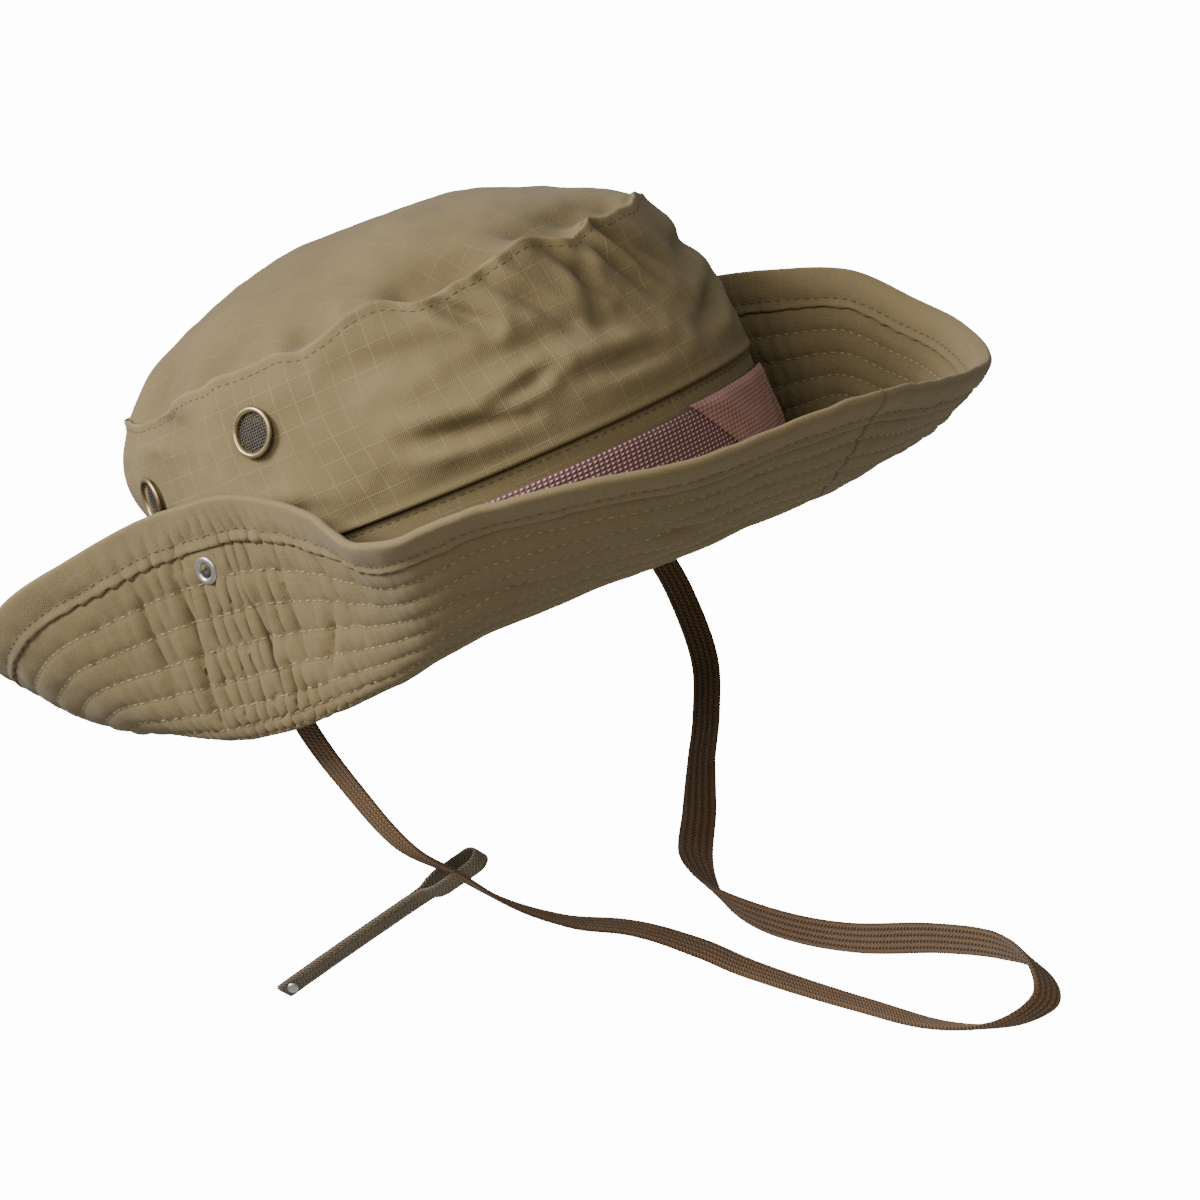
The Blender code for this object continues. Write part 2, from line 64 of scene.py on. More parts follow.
# Driving dimensions, as the frame was built from them
HALF_WIDTH, HALF_LENGTH = 88, 102
CLOTH = 0.9
FOOT_Z, SEAM_Z = 35, 90
SWELL, TAPER, LEAN = 1.8, 8.3, 7
DOME_RISE, DOME_POWER = 25, 2.3
REACH_FLAT = 74
BINDING_SHARE = 0.857
BRIM_EDGE = (
    (0, -177, 17), (-35, -172, 22), (-66, -163, 26), (-92, -145, 33), (-110, -122, 36),
    (-117, -98, 34), (-112, -77, 36), (-101, -50, 43), (-94, -26, 51), (-93, -4, 57),
    (-94, 16, 58), (-98, 37, 58), (-108, 59, 55), (-118, 86, 50), (-113, 114, 40),
    (-96, 139, 29), (-64, 163, 15), (-22, 175, 8), (22, 175, 8), (62, 162, 15),
    (94, 139, 26), (112, 114, 37), (117, 88, 48), (108, 60, 54), (98, 37, 57),
    (94, 14, 58), (93, -8, 57), (95, -32, 55), (101, -55, 50), (111, -78, 41),
    (112, -98, 26), (105, -118, 16), (86, -141, 8), (58, -160, 7), (30, -171, 10),
)
VENTS = {"front": (75.5, 71.5), "rear": (111.5, 62)}
SNAP_ANGLE, SNAP_Z = 99, 38
LACE_ROUTE = (
    (-78.6, 22, 14), (-78.6, 23, 2), (-79.6, 23, -14), (-78.6, 17, -36), (-72.2, 11.1, -62.5),
    (-60, 8.5, -78.4), (-47.8, 5.9, -94.3), (-33, 1, -108), (-17, -8, -119), (-7, -22, -132),
    (-5, -40, -143), (-8, -84, -158), (-10, -112, -166), (-8, -134, -168.5), (-1, -147.5, -165),
    (7, -141, -157), (10, -127, -151), (10, -104, -146), (8, -70, -141), (6, -42, -131),
    (9, -22, -121), (20, -6, -112), (35, 1, -101), (48, 5.9, -89), (61, 8.5, -76),
    (72, 11.1, -60), (78.6, 17, -36), (79.6, 23, -14), (78.6, 23, 2), (78.6, 22, 14),
)

# Cloth detail
RIPSTOP_PITCH = 6.6
BRIM_WIDTH = 85
QUILT_STEP = 0.085  # share of the brim's width between two rows of stitching
QUILT_ROWS = 9
QUILT_PUFF = 0.75
PLY = 0.85  # half of the brim's three layers, at a row of quilting
PLEAT_PITCH, PLEAT_HEIGHT = 5.2, 2.3
FRONT_DROP = 4  # the front right edge hangs this much below the frame's plain shape
STRIP_SHARE = 0.10  # the strip by the crown that stays put when a side folds down
BRIM_SEAM_Z = -1.6  # the bands reach down past the brim's inner edge, where all are sewn together
BRIM_ROWS, BRIM_COLUMNS = 600, 84
CROWN_ROWS, CROWN_COLUMNS = 640, 58
TOP_ROWS, TOP_COLUMNS = 480, 64
BAND_ROWS, BAND_COLUMNS = 420, 26
WALL_RADIUS = 92  # of the crown wall, near enough for its cloth's coordinates
WALL_PER_DEGREE = 1.62  # millimetres of wall to a degree round the hat, for its creases
WEBBING_START, WEBBING_FOLD = -38, 38
STITCHES = {  # pitch, length and radius
    "quilting": (3.3, 2.1, 0.2), "binding": (3.2, 2, 0.26), "crown": (3, 1.9, 0.2),
    "base": (3, 1.9, 0.22), "sweatband": (3.2, 2.1, 0.2), "webbing": (2.6, 1.9, 0.22),
    "tab": (2.2, 1.7, 0.2), "tape": (2.6, 1.9, 0.18),
}

# Camera and light
AZIMUTH, ELEVATION, ROLL = -40, 6, 23
DISTANCE = 1200
PICTURE_SCALE = 3.2 / 1200  # share of the frame's width that one millimetre takes at the origin
ORIGIN_IN_FRAME = (505 / 1200, 1 - 563 / 1200)
SENSOR = 36
FLOOR_Z, FLOOR_HALF = -1100, 1300
AMBIENT, BACKGROUND = 0.42, 14


# ---------------- numbers

def smoothstep(value):
    value = np.clip(value, 0, 1)
    return value * value * (3 - 2 * value)


def unit(vectors):
    return vectors / np.maximum(np.linalg.norm(vectors, axis=-1, keepdims=True), 1e-9)


def noise(points, size, seed):
    """Smooth noise from -1 to 1 at each point, with lumps of about this size in millimetres."""
    place = points / size
    cell = np.floor(place).astype(np.int64)
    part = place - cell
    part = part * part * (3 - 2 * part)
    total = np.zeros(points.shape[:-1])
    for corner in range(8):
        step = np.array([corner & 1, corner >> 1 & 1, corner >> 2 & 1])
        x, y, z = np.moveaxis(cell + step, -1, 0)
        mixed = x * 73856093 ^ y * 19349663 ^ z * 83492791 ^ seed * 2654435761
        mixed = (mixed ^ mixed >> 13) * 1274126177 & 0x7FFFFFFF
        value = (mixed ^ mixed >> 16) % 10007 / 5003 - 1
        total += value * np.prod(np.where(step, part, 1 - part), axis=-1)
    return total


def smooth_curve(points, places, closed=False):
    """Points of a smooth curve through the given ones, at places counted in them."""
    points = np.array(points, float)
    start = np.minimum(places.astype(int), len(points) - (1 if closed else 2))
    f = (places - start)[:, None]
    mode = "wrap" if closed else "clip"
    a, b, c, d = (points.take(start + step, axis=0, mode=mode) for step in (-1, 0, 1, 2))
    return 0.5 * (2 * b + (c - a) * f + (2 * a - 5 * b + 4 * c - d) * f**2 + (3 * b - a - 3 * c + d) * f**3)


def run_along(points, axis=0):
    """Distance from the first point, along an axis of a line or a grid of points."""
    steps = np.linalg.norm(np.diff(points, axis=axis), axis=-1)
    return np.concatenate([np.zeros_like(steps.take([0], axis)), np.cumsum(steps, axis)], axis)


def valley(u, v, crease):
    """How deep a drawn crease is at each (u, v): a soft-sided groove along a straight line."""
    (u0, v0), (u1, v1), depth, width = crease
    du, dv = u1 - u0, v1 - v0
    t = np.clip(((u - u0) * du + (v - v0) * dv) / (du * du + dv * dv), 0, 1)
    away = np.hypot(u - u0 - t * du, v - v0 - t * dv) / width
    taper = np.sin(np.pi * (0.12 + 0.76 * t))
    return depth * taper * (np.exp(-away**2) - 0.35 * np.exp(-((away - 2) ** 2)))


def nearest(values, wanted):
    return int(np.argmin(np.abs(values - wanted)))


def between(places, marks, values):
    """Vectors at these places, on straight lines between the values at marks."""
    return np.stack([np.interp(places, marks, column) for column in np.transpose(values)], axis=-1)


# ---------------- the hat's surfaces

def band_point(angle, grow, z, lean=0):
    """Points on the oval, with both half-axes grown."""
    turn = np.radians(angle)
    x = -(HALF_WIDTH + grow) * np.sin(turn)
    y = lean - (HALF_LENGTH + grow) * np.cos(turn)
    return np.stack(np.broadcast_arrays(x, y, z), axis=-1).astype(float)


def outward(angle):
    turn = np.radians(angle)
    return unit(np.stack([-np.sin(turn) / HALF_WIDTH, -np.cos(turn) / HALF_LENGTH, 0 * turn], axis=-1))


def crown_grow(z):
    share = (z - FOOT_Z) / (SEAM_Z - FOOT_Z)
    return 1.2 + SWELL * np.sin(np.pi * share) - TAPER * share**2


def crown_point(angle, z):
    return band_point(angle, crown_grow(z), z, LEAN * smoothstep((z - FOOT_Z) / 40))


def place_at(origin, out, up):
    """A matrix in millimetres at origin, with Z along out and Y as near as possible to up."""
    out, up = Vector(out).normalized(), Vector(up)
    side = up.cross(out).normalized()
    return Matrix.Translation(Vector(origin)) @ Matrix((side, out.cross(side), out)).transposed().to_4x4()


def crown_place(angle, z):
    """A matrix on the crown wall whose Z axis points out of the cloth."""
    here, above, beside = (crown_point(np.array(a), np.array(h))
                           for a, h in ((angle, z), (angle, z + 1), (angle + 1, z)))
    out = np.cross(beside - here, above - here)
    if out @ outward(np.array(angle)) < 0:
        out = -out
    return place_at(here, out, above - here)


def brim_middle(turns, shares):
    """The brim's smooth middle surface: a grid of points, and the root angle at each station."""
    edge = smooth_curve(BRIM_EDGE, turns * len(BRIM_EDGE), closed=True)
    flat_x, flat_y = HALF_WIDTH + REACH_FLAT, HALF_LENGTH + REACH_FLAT
    angle = np.degrees(np.arctan2(-edge[:, 0] / flat_x, -edge[:, 1] / flat_y)) % 360
    root = band_point(angle, 0.2, -0.4)
    openness = smoothstep(np.linalg.norm(edge[:, :2] - root[:, :2], axis=-1) / REACH_FLAT)
    away = outward(angle)
    hang = smoothstep((np.minimum(angle, 360 - angle) - 55) / 40)
    sink = np.radians(50 - 22 * openness + hang * (16 - 4 * openness))[:, None]
    rise = np.radians(79 - 47 * openness + 28 * hang * openness)[:, None]
    handle = (37 - 6 * openness + hang * (13 - 2 * openness))[:, None]
    first = root + handle * (away * np.cos(sink) - UP * np.sin(sink))
    last = edge - 26 * (away * np.cos(rise) + UP * np.sin(rise))
    s = np.asarray(shares)[None, :, None]
    points = ((1 - s) ** 3 * root[:, None] + 3 * (1 - s) ** 2 * s * first[:, None]
              + 3 * (1 - s) * s**2 * last[:, None] + s**3 * edge[:, None])
    return points, angle


def grid_normals(points):
    """The upper-face direction over a grid whose rows close on themselves."""
    along = np.roll(points, -1, axis=0) - np.roll(points, 1, axis=0)
    return unit(np.cross(along, np.gradient(points, axis=1)))


# ---------------- materials

def feed(socket, value):
    """Link a wire to a node's input, or set the input."""
    if isinstance(value, Wire):
        socket.id_data.links.new(value.output, socket)
    else:
        socket.default_value = (*value, 1) if socket.type == "RGBA" else value


class Wire:
    """A shader node's output, which takes part in sums like a number."""

    def __init__(self, output):
        self.output = output

    def reckon(self, operation, *others, turned=False):
        """A sum of this wire and others, with the others first where it is turned."""
        made = self.output.id_data.nodes.new("ShaderNodeMath")
        made.operation = operation
        for socket, value in zip(made.inputs, (*others, self) if turned else (self, *others)):
            feed(socket, value)
        return Wire(made.outputs[0])

    __add__ = partialmethod(reckon, "ADD")
    __radd__ = partialmethod(reckon, "ADD", turned=True)
    __sub__ = partialmethod(reckon, "SUBTRACT")
    __rsub__ = partialmethod(reckon, "SUBTRACT", turned=True)
    __mul__ = partialmethod(reckon, "MULTIPLY")
    __truediv__ = partialmethod(reckon, "DIVIDE")
    most = partialmethod(reckon, "MAXIMUM")
    least = partialmethod(reckon, "MINIMUM")

    def wave(self, pitch):
        """A sine that repeats every pitch."""
        return (self * (math.tau / pitch)).reckon("SINE")


class Shade:
    """A material in the making."""

    def __init__(self, name):
        self.made = bpy.data.materials.new(name)
        self.made.use_nodes = True
        self.tree = self.made.node_tree

    def node(self, kind, output, **values):
        """Add a node; a value's key is a property of the node, or an input's capitalised name."""
        made = self.tree.nodes.new("ShaderNode" + kind)
        for key, value in values.items():
            if key.islower():
                setattr(made, key, value)
            else:
                feed(made.inputs[key], value)
        return Wire(made.outputs[output])

    def cloth(self):
        """The cloth's own coordinates in millimetres, as a vector and as u and v, how strong its
        ripstop grid is, and how raised it is, from which the materials paint highlight and shade."""
        where = self.node("Attribute", "Vector", attribute_name="cloth")
        u, v, grid = (self.node("SeparateXYZ", part, Vector=where) for part in "XYZ")
        return where, u, v, grid, self.node("Attribute", "Fac", attribute_name="raised")

    def grain(self, where, scale, detail):
        return self.node("TexNoise", 0, Vector=where, Scale=scale, Detail=detail)

    def mix(self, amount, first, second):
        """Mix two colours."""
        made = self.tree.nodes.new("ShaderNodeMix")
        made.data_type = "RGBA"
        for key, value in (("Factor", amount), (6, first), (7, second)):
            feed(made.inputs[key], value)
        return Wire(made.outputs[2])

    def finish(self, colour, bumps=None, **settings):
        """Set the shader's inputs; bumps are a height, its distance and its strength."""
        if bumps:
            height, distance, strength = bumps
            settings["Normal"] = self.node("Bump", 0, Height=height, Distance=distance, Strength=strength)
        shader = self.tree.nodes["Principled BSDF"]
        for key, value in {"Base_Color": colour, **settings}.items():
            feed(shader.inputs[key.replace("_", " ")], value)
        return self.made


def scaled(colour, factor):
    return tuple(min(c * factor, 1) for c in colour)


def thread_line(run, width):
    """1 on a thread of the ripstop grid, falling to 0 a width away."""
    away = ((run / RIPSTOP_PITCH).reckon("FRACT") - 0.5).reckon("ABSOLUTE")
    return 1 - (away / (width / RIPSTOP_PITCH)).least(1)


def ripstop(name, colour, grid_colour, dark):
    """Washed cotton ripstop: a grid of thicker threads over a fine plain weave, lighter on its ridges, partly
    faded and partly painted highlight, and darker in its creases, which is painted shade.
    """
    shade = Shade(name)
    where, u, v, grid, raised = shade.cloth()
    patchy, fade = shade.grain(where, 0.045, 3), shade.grain(where, 0.018, 4)
    speckle = shade.grain(where, 1.15, 2)
    shown = ((patchy - 0.36) * 4).most(0.12).least(1)
    lines = thread_line(u, 0.26).most(thread_line(v, 0.20)) * (grid * shown)
    base = shade.mix(fade, scaled(colour, 0.86), scaled(colour, 1.14))
    base = shade.mix(speckle * 0.32, base, dark)
    # Lighter where the cloth is raised, partly fading and partly painted highlight, and darker where it is
    # sunk, which is painted shade.
    base = shade.mix(raised * 0.55, base, scaled(colour, 1.45))
    base = shade.mix((raised * -0.6).most(0), base, dark)
    base = shade.mix(lines * 0.5, base, grid_colour)
    weave = u.wave(math.tau / 8.4) * v.wave(math.tau / 8.4)
    height = weave * 0.05 + (lines * 0.12 + speckle * 0.12)
    return shade.finish(base, (height, 0.001, 0.75), Roughness=0.92, Specular_IOR_Level=0.1,
                        Sheen_Weight=0.06, Sheen_Roughness=0.5)


def webbing(name, dark, light, plain=False):
    """Coarse woven tape: rows of light beads on dark gaps, or a flatter weave where plain is set."""
    shade = Shade(name)
    where, u, v, _, raised = shade.cloth()
    weave = ((u + v * 0.18).wave(1.75) * 0.5 + 0.5) * (v.wave(1.25) * 0.5 + 0.5)
    if plain:
        weave = 0.5 + weave * 0.3
    wear_and_shade = 0.75 + shade.grain(where, 0.12, 3)
    base = shade.mix((weave * wear_and_shade).least(1), dark, light)
    # Lighter where the tape bulges out: painted highlight.
    base = shade.mix(raised * 0.4, base, scaled(light, 1.2))
    return shade.finish(base, (weave, 0.0012, 0.8), Roughness=0.68, Specular_IOR_Level=0.35)


def braid(name, dark, light):
    """A flat braid: slanting strands on each rib."""
    shade = Shade(name)
    where, u, v, _, raised = shade.cloth()
    strands = (u + v.reckon("PINGPONG", 1.15) * 1.1).wave(1.3)
    wear_and_shade = 0.55 + shade.grain(where, 0.09, 4)
    base = shade.mix(((strands * 0.22 + 0.45) * wear_and_shade).least(1), dark, light)
    # Darker in the grooves between the ribs: painted shade.
    base = shade.mix((raised * -1).most(0), base, scaled(dark, 0.35))
    return shade.finish(base, (strands, 0.0006, 0.7), Roughness=0.8, Specular_IOR_Level=0.3,
                        Sheen_Weight=0.15)


def metal(name, colour, roughness, tarnish):
    """Plated or lacquered pressed metal, dulled in patches."""
    shade = Shade(name)
    wear_and_shade = shade.grain(shade.node("TexCoord", "Object"), 420, 5)
    return shade.finish(shade.mix(wear_and_shade, colour, tarnish), (wear_and_shade, 0.0002, 0.3), Metallic=0.85,
                        Roughness=roughness + wear_and_shade * 0.22)


def thread(name, colour):
    shade = Shade(name)
    wear_and_shade = shade.grain(shade.node("TexCoord", "Object"), 300, 2)
    return shade.finish(shade.mix(wear_and_shade, scaled(colour, 0.7), scaled(colour, 1.3)), Roughness=0.7)


MATERIALS = {
    "crown": ripstop("ripstop_crown", (0.157, 0.119, 0.058), (0.28, 0.225, 0.13), (0.076, 0.054, 0.023)),
    "brim": ripstop("ripstop_brim", (0.150, 0.114, 0.055), (0.25, 0.195, 0.11), (0.067, 0.047, 0.02)),
    "binding": ripstop("ripstop_binding", (0.162, 0.123, 0.061), (0.24, 0.19, 0.11), (0.08, 0.058, 0.026)),
    "lining": ripstop("cotton_lining", (0.106, 0.08, 0.042), (0.125, 0.095, 0.05), (0.057, 0.042, 0.02)),
    "webbing": webbing("woven_band", (0.090, 0.038, 0.038), (0.50, 0.29, 0.26)),
    "webbing_fold": webbing("woven_band_fold", (0.15, 0.070, 0.060), (0.31, 0.165, 0.138), plain=True),
    "lace": braid("flat_braid", (0.066, 0.027, 0.004), (0.25, 0.118, 0.022)),
    "strap": braid("narrow_tape", (0.050, 0.036, 0.017), (0.15, 0.112, 0.060)),
    "brass": metal("antique_brass", (0.46, 0.36, 0.19), 0.26, (0.14, 0.10, 0.05)),
    "steel": metal("nickel_plate", (0.52, 0.50, 0.46), 0.24, (0.20, 0.19, 0.17)),
    "dark": metal("dark_wire", (0.24, 0.22, 0.18), 0.45, (0.09, 0.08, 0.062)),
    "hole": thread("shaded_hole", (0.022, 0.019, 0.015)),
    "thread": thread("khaki_thread", (0.25, 0.20, 0.115)),
    "dark_thread": thread("shaded_thread", (0.072, 0.054, 0.027)),
}


# ---------------- meshes

def add_object(name, data):
    made = bpy.data.objects.new(name, data)
    bpy.context.scene.collection.objects.link(made)
    return made


class Piece:
    """A mesh put together from grids and stitches, in millimetres."""

    def __init__(self, name):
        self.name = name
        self.points, self.faces, self.cloth, self.raised, self.finish = [], [], [], [], []
        self.count = 0
        self.slots = []

    def add(self, points, faces, slot, cloth=(0, 0, 0), raised=0):
        points = np.asarray(points, float).reshape(-1, 3)
        if slot not in self.slots:
            self.slots.append(slot)
        self.points.append(points)
        self.cloth.append(np.broadcast_to(np.reshape(cloth, (-1, 3)), points.shape))
        self.raised.append(np.broadcast_to(np.reshape(raised, -1), len(points)))
        for group in faces:
            self.faces.append(np.asarray(group) + self.count)
            self.finish.append(np.full(len(group), self.slots.index(slot)))
        self.count += len(points)

    def build(self, body, slot_name, recalc=True):
        """Make the object, smooth-shaded, riding on a body if there is one."""
        mesh = bpy.data.meshes.new(self.name)
        faces = [face for group in self.faces for face in group.tolist()]
        mesh.from_pydata(np.concatenate(self.points) * MM, [], faces)
        mesh.polygons.foreach_set("material_index", np.concatenate(self.finish).astype(np.int32))
        layers = (("cloth", "FLOAT_VECTOR", "vector", self.cloth), ("raised", "FLOAT", "value", self.raised))
        for name, kind, key, values in layers:
            layer = mesh.attributes.new(name, kind, "POINT")
            layer.data.foreach_set(key, np.concatenate(values).reshape(-1).astype(np.float32))
        if recalc:
            bm = bmesh.new()
            bm.from_mesh(mesh)
            bmesh.ops.recalc_face_normals(bm, faces=bm.faces)
            bm.to_mesh(mesh)
            bm.free()
        mesh.shade_smooth()
        for slot in self.slots:
            mesh.materials.append(MATERIALS[slot])
        made = add_object(self.name, mesh)
        if body:
            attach(made, body)
        return made


def grid_faces(rows, columns, closed=False, tube=False):
    """The quads of a grid of points stored row by row, closed along its rows or across them."""
    i = np.arange(rows if closed else rows - 1)[:, None]
    j = np.arange(columns if tube else columns - 1)[None, :]
    k, m = (i + 1) % rows, (j + 1) % columns
    corners = [i * columns + j, i * columns + m, k * columns + m, k * columns + j]
    return np.stack(corners, axis=-1).reshape(-1, 4)


def add_sheet(piece, outer, inner, slot, cloth, raised, closed=False):
    """Two grids of points joined at their edges into one closed sheet."""
    rows, columns = outer.shape[:2]
    count = rows * columns
    quads = grid_faces(rows, columns, closed)
    faces = [quads, quads[:, ::-1] + count]
    i = np.arange(rows if closed else rows - 1)
    k = (i + 1) % rows
    for j in (0, columns - 1):
        low, high = i * columns + j, k * columns + j
        faces.append(np.stack([low, high, high + count, low + count], -1))
    if not closed:
        for row in (0, rows - 1):
            low = row * columns + np.arange(columns - 1)
            faces.append(np.stack([low, low + 1, low + 1 + count, low + count], -1))
    points = np.concatenate([outer.reshape(-1, 3), inner.reshape(-1, 3)])
    raised = raised.reshape(-1)
    piece.add(points, faces, slot, np.concatenate([cloth.reshape(-1, 3)] * 2), np.append(raised, 0 * raised))


def cloth_at(u, v, grid=1):
    u, v = np.broadcast_arrays(u, v)
    return np.stack([u, v, np.full(u.shape, grid)], axis=-1)


def stitch_shape():
    """One stitch: a short plump capsule along X, two rings of six between its tips."""
    points = [(-0.5, 0, -0.3)]
    for x in (-0.3, 0.3):
        points += [(x, math.cos(math.tau * k / 6), math.sin(math.tau * k / 6)) for k in range(6)]
    points.append((0.5, 0, -0.3))
    triangles, quads = [], []
    for k in range(6):
        n = (k + 1) % 6
        triangles += [(0, 1 + n, 1 + k), (13, 7 + k, 7 + n)]
        quads.append((1 + k, 1 + n, 7 + n, 7 + k))
    return np.array(points), np.array(triangles), np.array(quads)


def add_stitches(piece, kind, slot, line, normals, sink=0, closed=False):
    """A row of stitches along a line of points, with the cloth's outward direction there."""
    normals = np.broadcast_to(normals, line.shape)
    if closed:
        line, normals = np.concatenate([line, line[:1]]), np.concatenate([normals, normals[:1]])
    pitch, length, radius = STITCHES[kind]
    run = run_along(line)
    count = int(run[-1] / pitch)
    if count < 1:
        return
    middles = (np.arange(count) + 0.5) * run[-1] / count
    out = unit(between(middles, run, normals))
    along = unit(between(middles + 0.4, run, line) - between(middles - 0.4, run, line))
    side = unit(np.cross(out, along))
    out = np.cross(along, side)
    shape, triangles, quads = stitch_shape()
    middle = between(middles, run, line) - sink * out
    points = middle[:, None] + length * shape[None, :, :1] * along[:, None]
    points = points + radius * (shape[None, :, 1:2] * side[:, None] + 0.8 * shape[None, :, 2:] * out[:, None])
    offsets = (np.arange(count) * len(shape))[:, None, None]
    faces = [(triangles[None] + offsets).reshape(-1, 3), (quads[None] + offsets).reshape(-1, 4)]
    piece.add(points, faces, slot)


def moved(points, place):
    matrix = np.array(place)
    return points.reshape(-1, 3) @ matrix[:3, :3].T + matrix[:3, 3]


def rounded(outline, steps, keep):
    """Round the corners of a closed outline of (radius, height)."""
    outline = np.array(outline, float)
    made = []
    for before, here, after in zip(np.roll(outline, 1, axis=0), outline, np.roll(outline, -1, axis=0)):
        start, end = here + (before - here) * keep, here + (after - here) * keep
        for t in np.linspace(0, 1, steps):
            made.append((1 - t) ** 2 * start + 2 * t * (1 - t) * here + t**2 * end)
    return made


def add_lathe(piece, outline, place, slot, sides):
    """A closed outline of (radius, height) turned about a place's Z axis."""
    turn = np.arange(sides)[:, None] * math.tau / sides
    radius, height = np.array([*outline, outline[0]], float).T
    grid = np.stack(np.broadcast_arrays(radius * np.cos(turn), radius * np.sin(turn), height), axis=-1)
    piece.add(moved(grid, place), [grid_faces(sides, len(radius), closed=True)], slot, cloth=grid)


def make_turned(name, body, slot, place, outline, replaced, steps=4, keep=0.25, sides=40):
    """A piece of pressed metal: one rounded outline turned about a place's Z axis."""
    piece = Piece(name)
    add_lathe(piece, rounded(outline, steps, keep), place, slot, sides)
    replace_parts(piece.build(body, slot), replaced)


# ---------------- camera, light and floor

def camera_axes():
    a, e, r = (math.radians(v) for v in (AZIMUTH, ELEVATION, ROLL))
    back = Vector((math.sin(a) * math.cos(e), -math.cos(a) * math.cos(e), math.sin(e)))
    right = Vector((math.cos(a), math.sin(a), 0))
    up = back.cross(right)
    return right * math.cos(r) - up * math.sin(r), right * math.sin(r) + up * math.cos(r), back


def make_camera():
    """A rolled long-lens camera that keeps the hat's origin at its place in the frame."""
    right, up, back = camera_axes()
    data = bpy.data.cameras.new("camera")
    data.sensor_width = SENSOR
    data.lens = SENSOR * DISTANCE * PICTURE_SCALE
    data.shift_x = 0.5 - ORIGIN_IN_FRAME[0]
    data.shift_y = 0.5 - ORIGIN_IN_FRAME[1]
    data.clip_end = 10
    camera = add_object("camera", data)
    turn = Matrix((right, up, back)).transposed().to_4x4()
    camera.matrix_world = Matrix.Translation(back * DISTANCE * MM) @ turn
    bpy.context.scene.camera = camera


def add_light(name, size, energy, position):
    data = bpy.data.lights.new(name, "AREA")
    data.size, data.energy = size, energy
    light = add_object(name, data)
    light.location = position
    aim = Vector((0, 0, 0.02)) - Vector(position)
    light.rotation_euler = aim.to_track_quat("-Z", "Y").to_euler()


def make_light():
    """Dim light from all round, a white background, and two soft lamps above and to the left."""
    world = bpy.data.worlds.new("studio")
    world.use_nodes = True
    tree = world.node_tree
    seen = Wire(tree.nodes.new("ShaderNodeLightPath").outputs["Is Camera Ray"])
    background = tree.nodes["Background"].inputs
    feed(background["Color"], (1, 1, 1))
    feed(background["Strength"], AMBIENT + seen * (BACKGROUND - AMBIENT))
    bpy.context.scene.world = world
    right, up, back = camera_axes()
    add_light("key", 0.5, 38, back * 0.55 - right * 1.2 + up * 0.6)
    add_light("fill", 0.8, 13, back * 1.2 + up * 0.5 - right * 0.5)


def make_floor():
    """A pale floor, well below the hat, which is on a head rather than set down."""
    mesh = bpy.data.meshes.new("floor")
    corners = [(x * FLOOR_HALF * MM, y * FLOOR_HALF * MM, FLOOR_Z * MM)
               for x, y in ((-1, -1), (1, -1), (1, 1), (-1, 1))]
    mesh.from_pydata(corners, [], [(0, 1, 2, 3)])
    floor = add_object("floor", mesh)
    mesh.materials.append(Shade("pale_floor").finish((0.85, 0.85, 0.85), Roughness=0.9))


# ---------------- chin lace and keeper

LACE_WIDTH, LACE_THICK, LACE_RIBS = 11.5, 1.7, 5
LACE_RINGS = 340
# The direction of the braid's width, by the number of a point of its route
LACE_FACING = {0: (0, 1, 0), 4: (0.1, 1, 0.1), 7: (0.55, 0.8, 0.2), 9: (0.9, 0.35, 0.1), 11: (1, 0, -0.25),
               13: (0.95, 0, -0.45), 14.4: (0.75, 0, -0.7), 16: (0.25, 0, -1), 19: (0.15, 0, -1),
               21: (0.3, -0.6, -0.7), 23: (0.2, -1, -0.1), 29: (0, -1, 0)}


def make_lace():
    """The flat ribbed braid along its whole route."""
    places = np.linspace(0, len(LACE_ROUTE) - 1, LACE_RINGS)
    line = smooth_curve(LACE_ROUTE, places)
    tangent = unit(np.gradient(line, axis=0))
    across = between(places, list(LACE_FACING), list(LACE_FACING.values()))
    across = unit(across - (across * tangent).sum(-1, keepdims=True) * tangent)
    face = np.cross(tangent, across)
    run = run_along(line)
    width = np.linspace(-0.5, 0.5, 8 * LACE_RIBS + 1)
    rib = np.abs(np.sin(np.pi * LACE_RIBS * (width + 0.5)))
    edge = np.sqrt(np.clip(1 - (2 * width) ** 6, 0, 1))
    height = (LACE_THICK / 2) * (0.62 + 0.38 * rib**0.6) * edge
    sway = 0.25 * noise(line, 14, 31)[:, None]
    side = np.append(width, width[-2:0:-1])
    rise = np.append(height, -height[-2:0:-1])
    points = (line[:, None] + across[:, None] * (side * LACE_WIDTH)[None, :, None]
              + face[:, None] * (rise + sway)[..., None])
    size = len(side)
    piece = Piece("lace_braid")
    cloth = cloth_at(run[:, None], side * LACE_WIDTH + LACE_WIDTH / 2)
    # Below zero between the ribs, where the braid material paints shade.
    raised = 0.8 * (np.append(rib, rib[-2:0:-1]) - 1)
    ends = [np.arange(size)[None, ::-1], np.arange(size)[None] + (LACE_RINGS - 1) * size]
    piece.add(points, [grid_faces(LACE_RINGS, size, tube=True)] + ends, "lace", cloth,
              np.broadcast_to(raised, points.shape[:2]))
    made = piece.build("hat", "lace")
    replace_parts(made, "chin_lace")
    return made, line * MM, run[-1] * MM


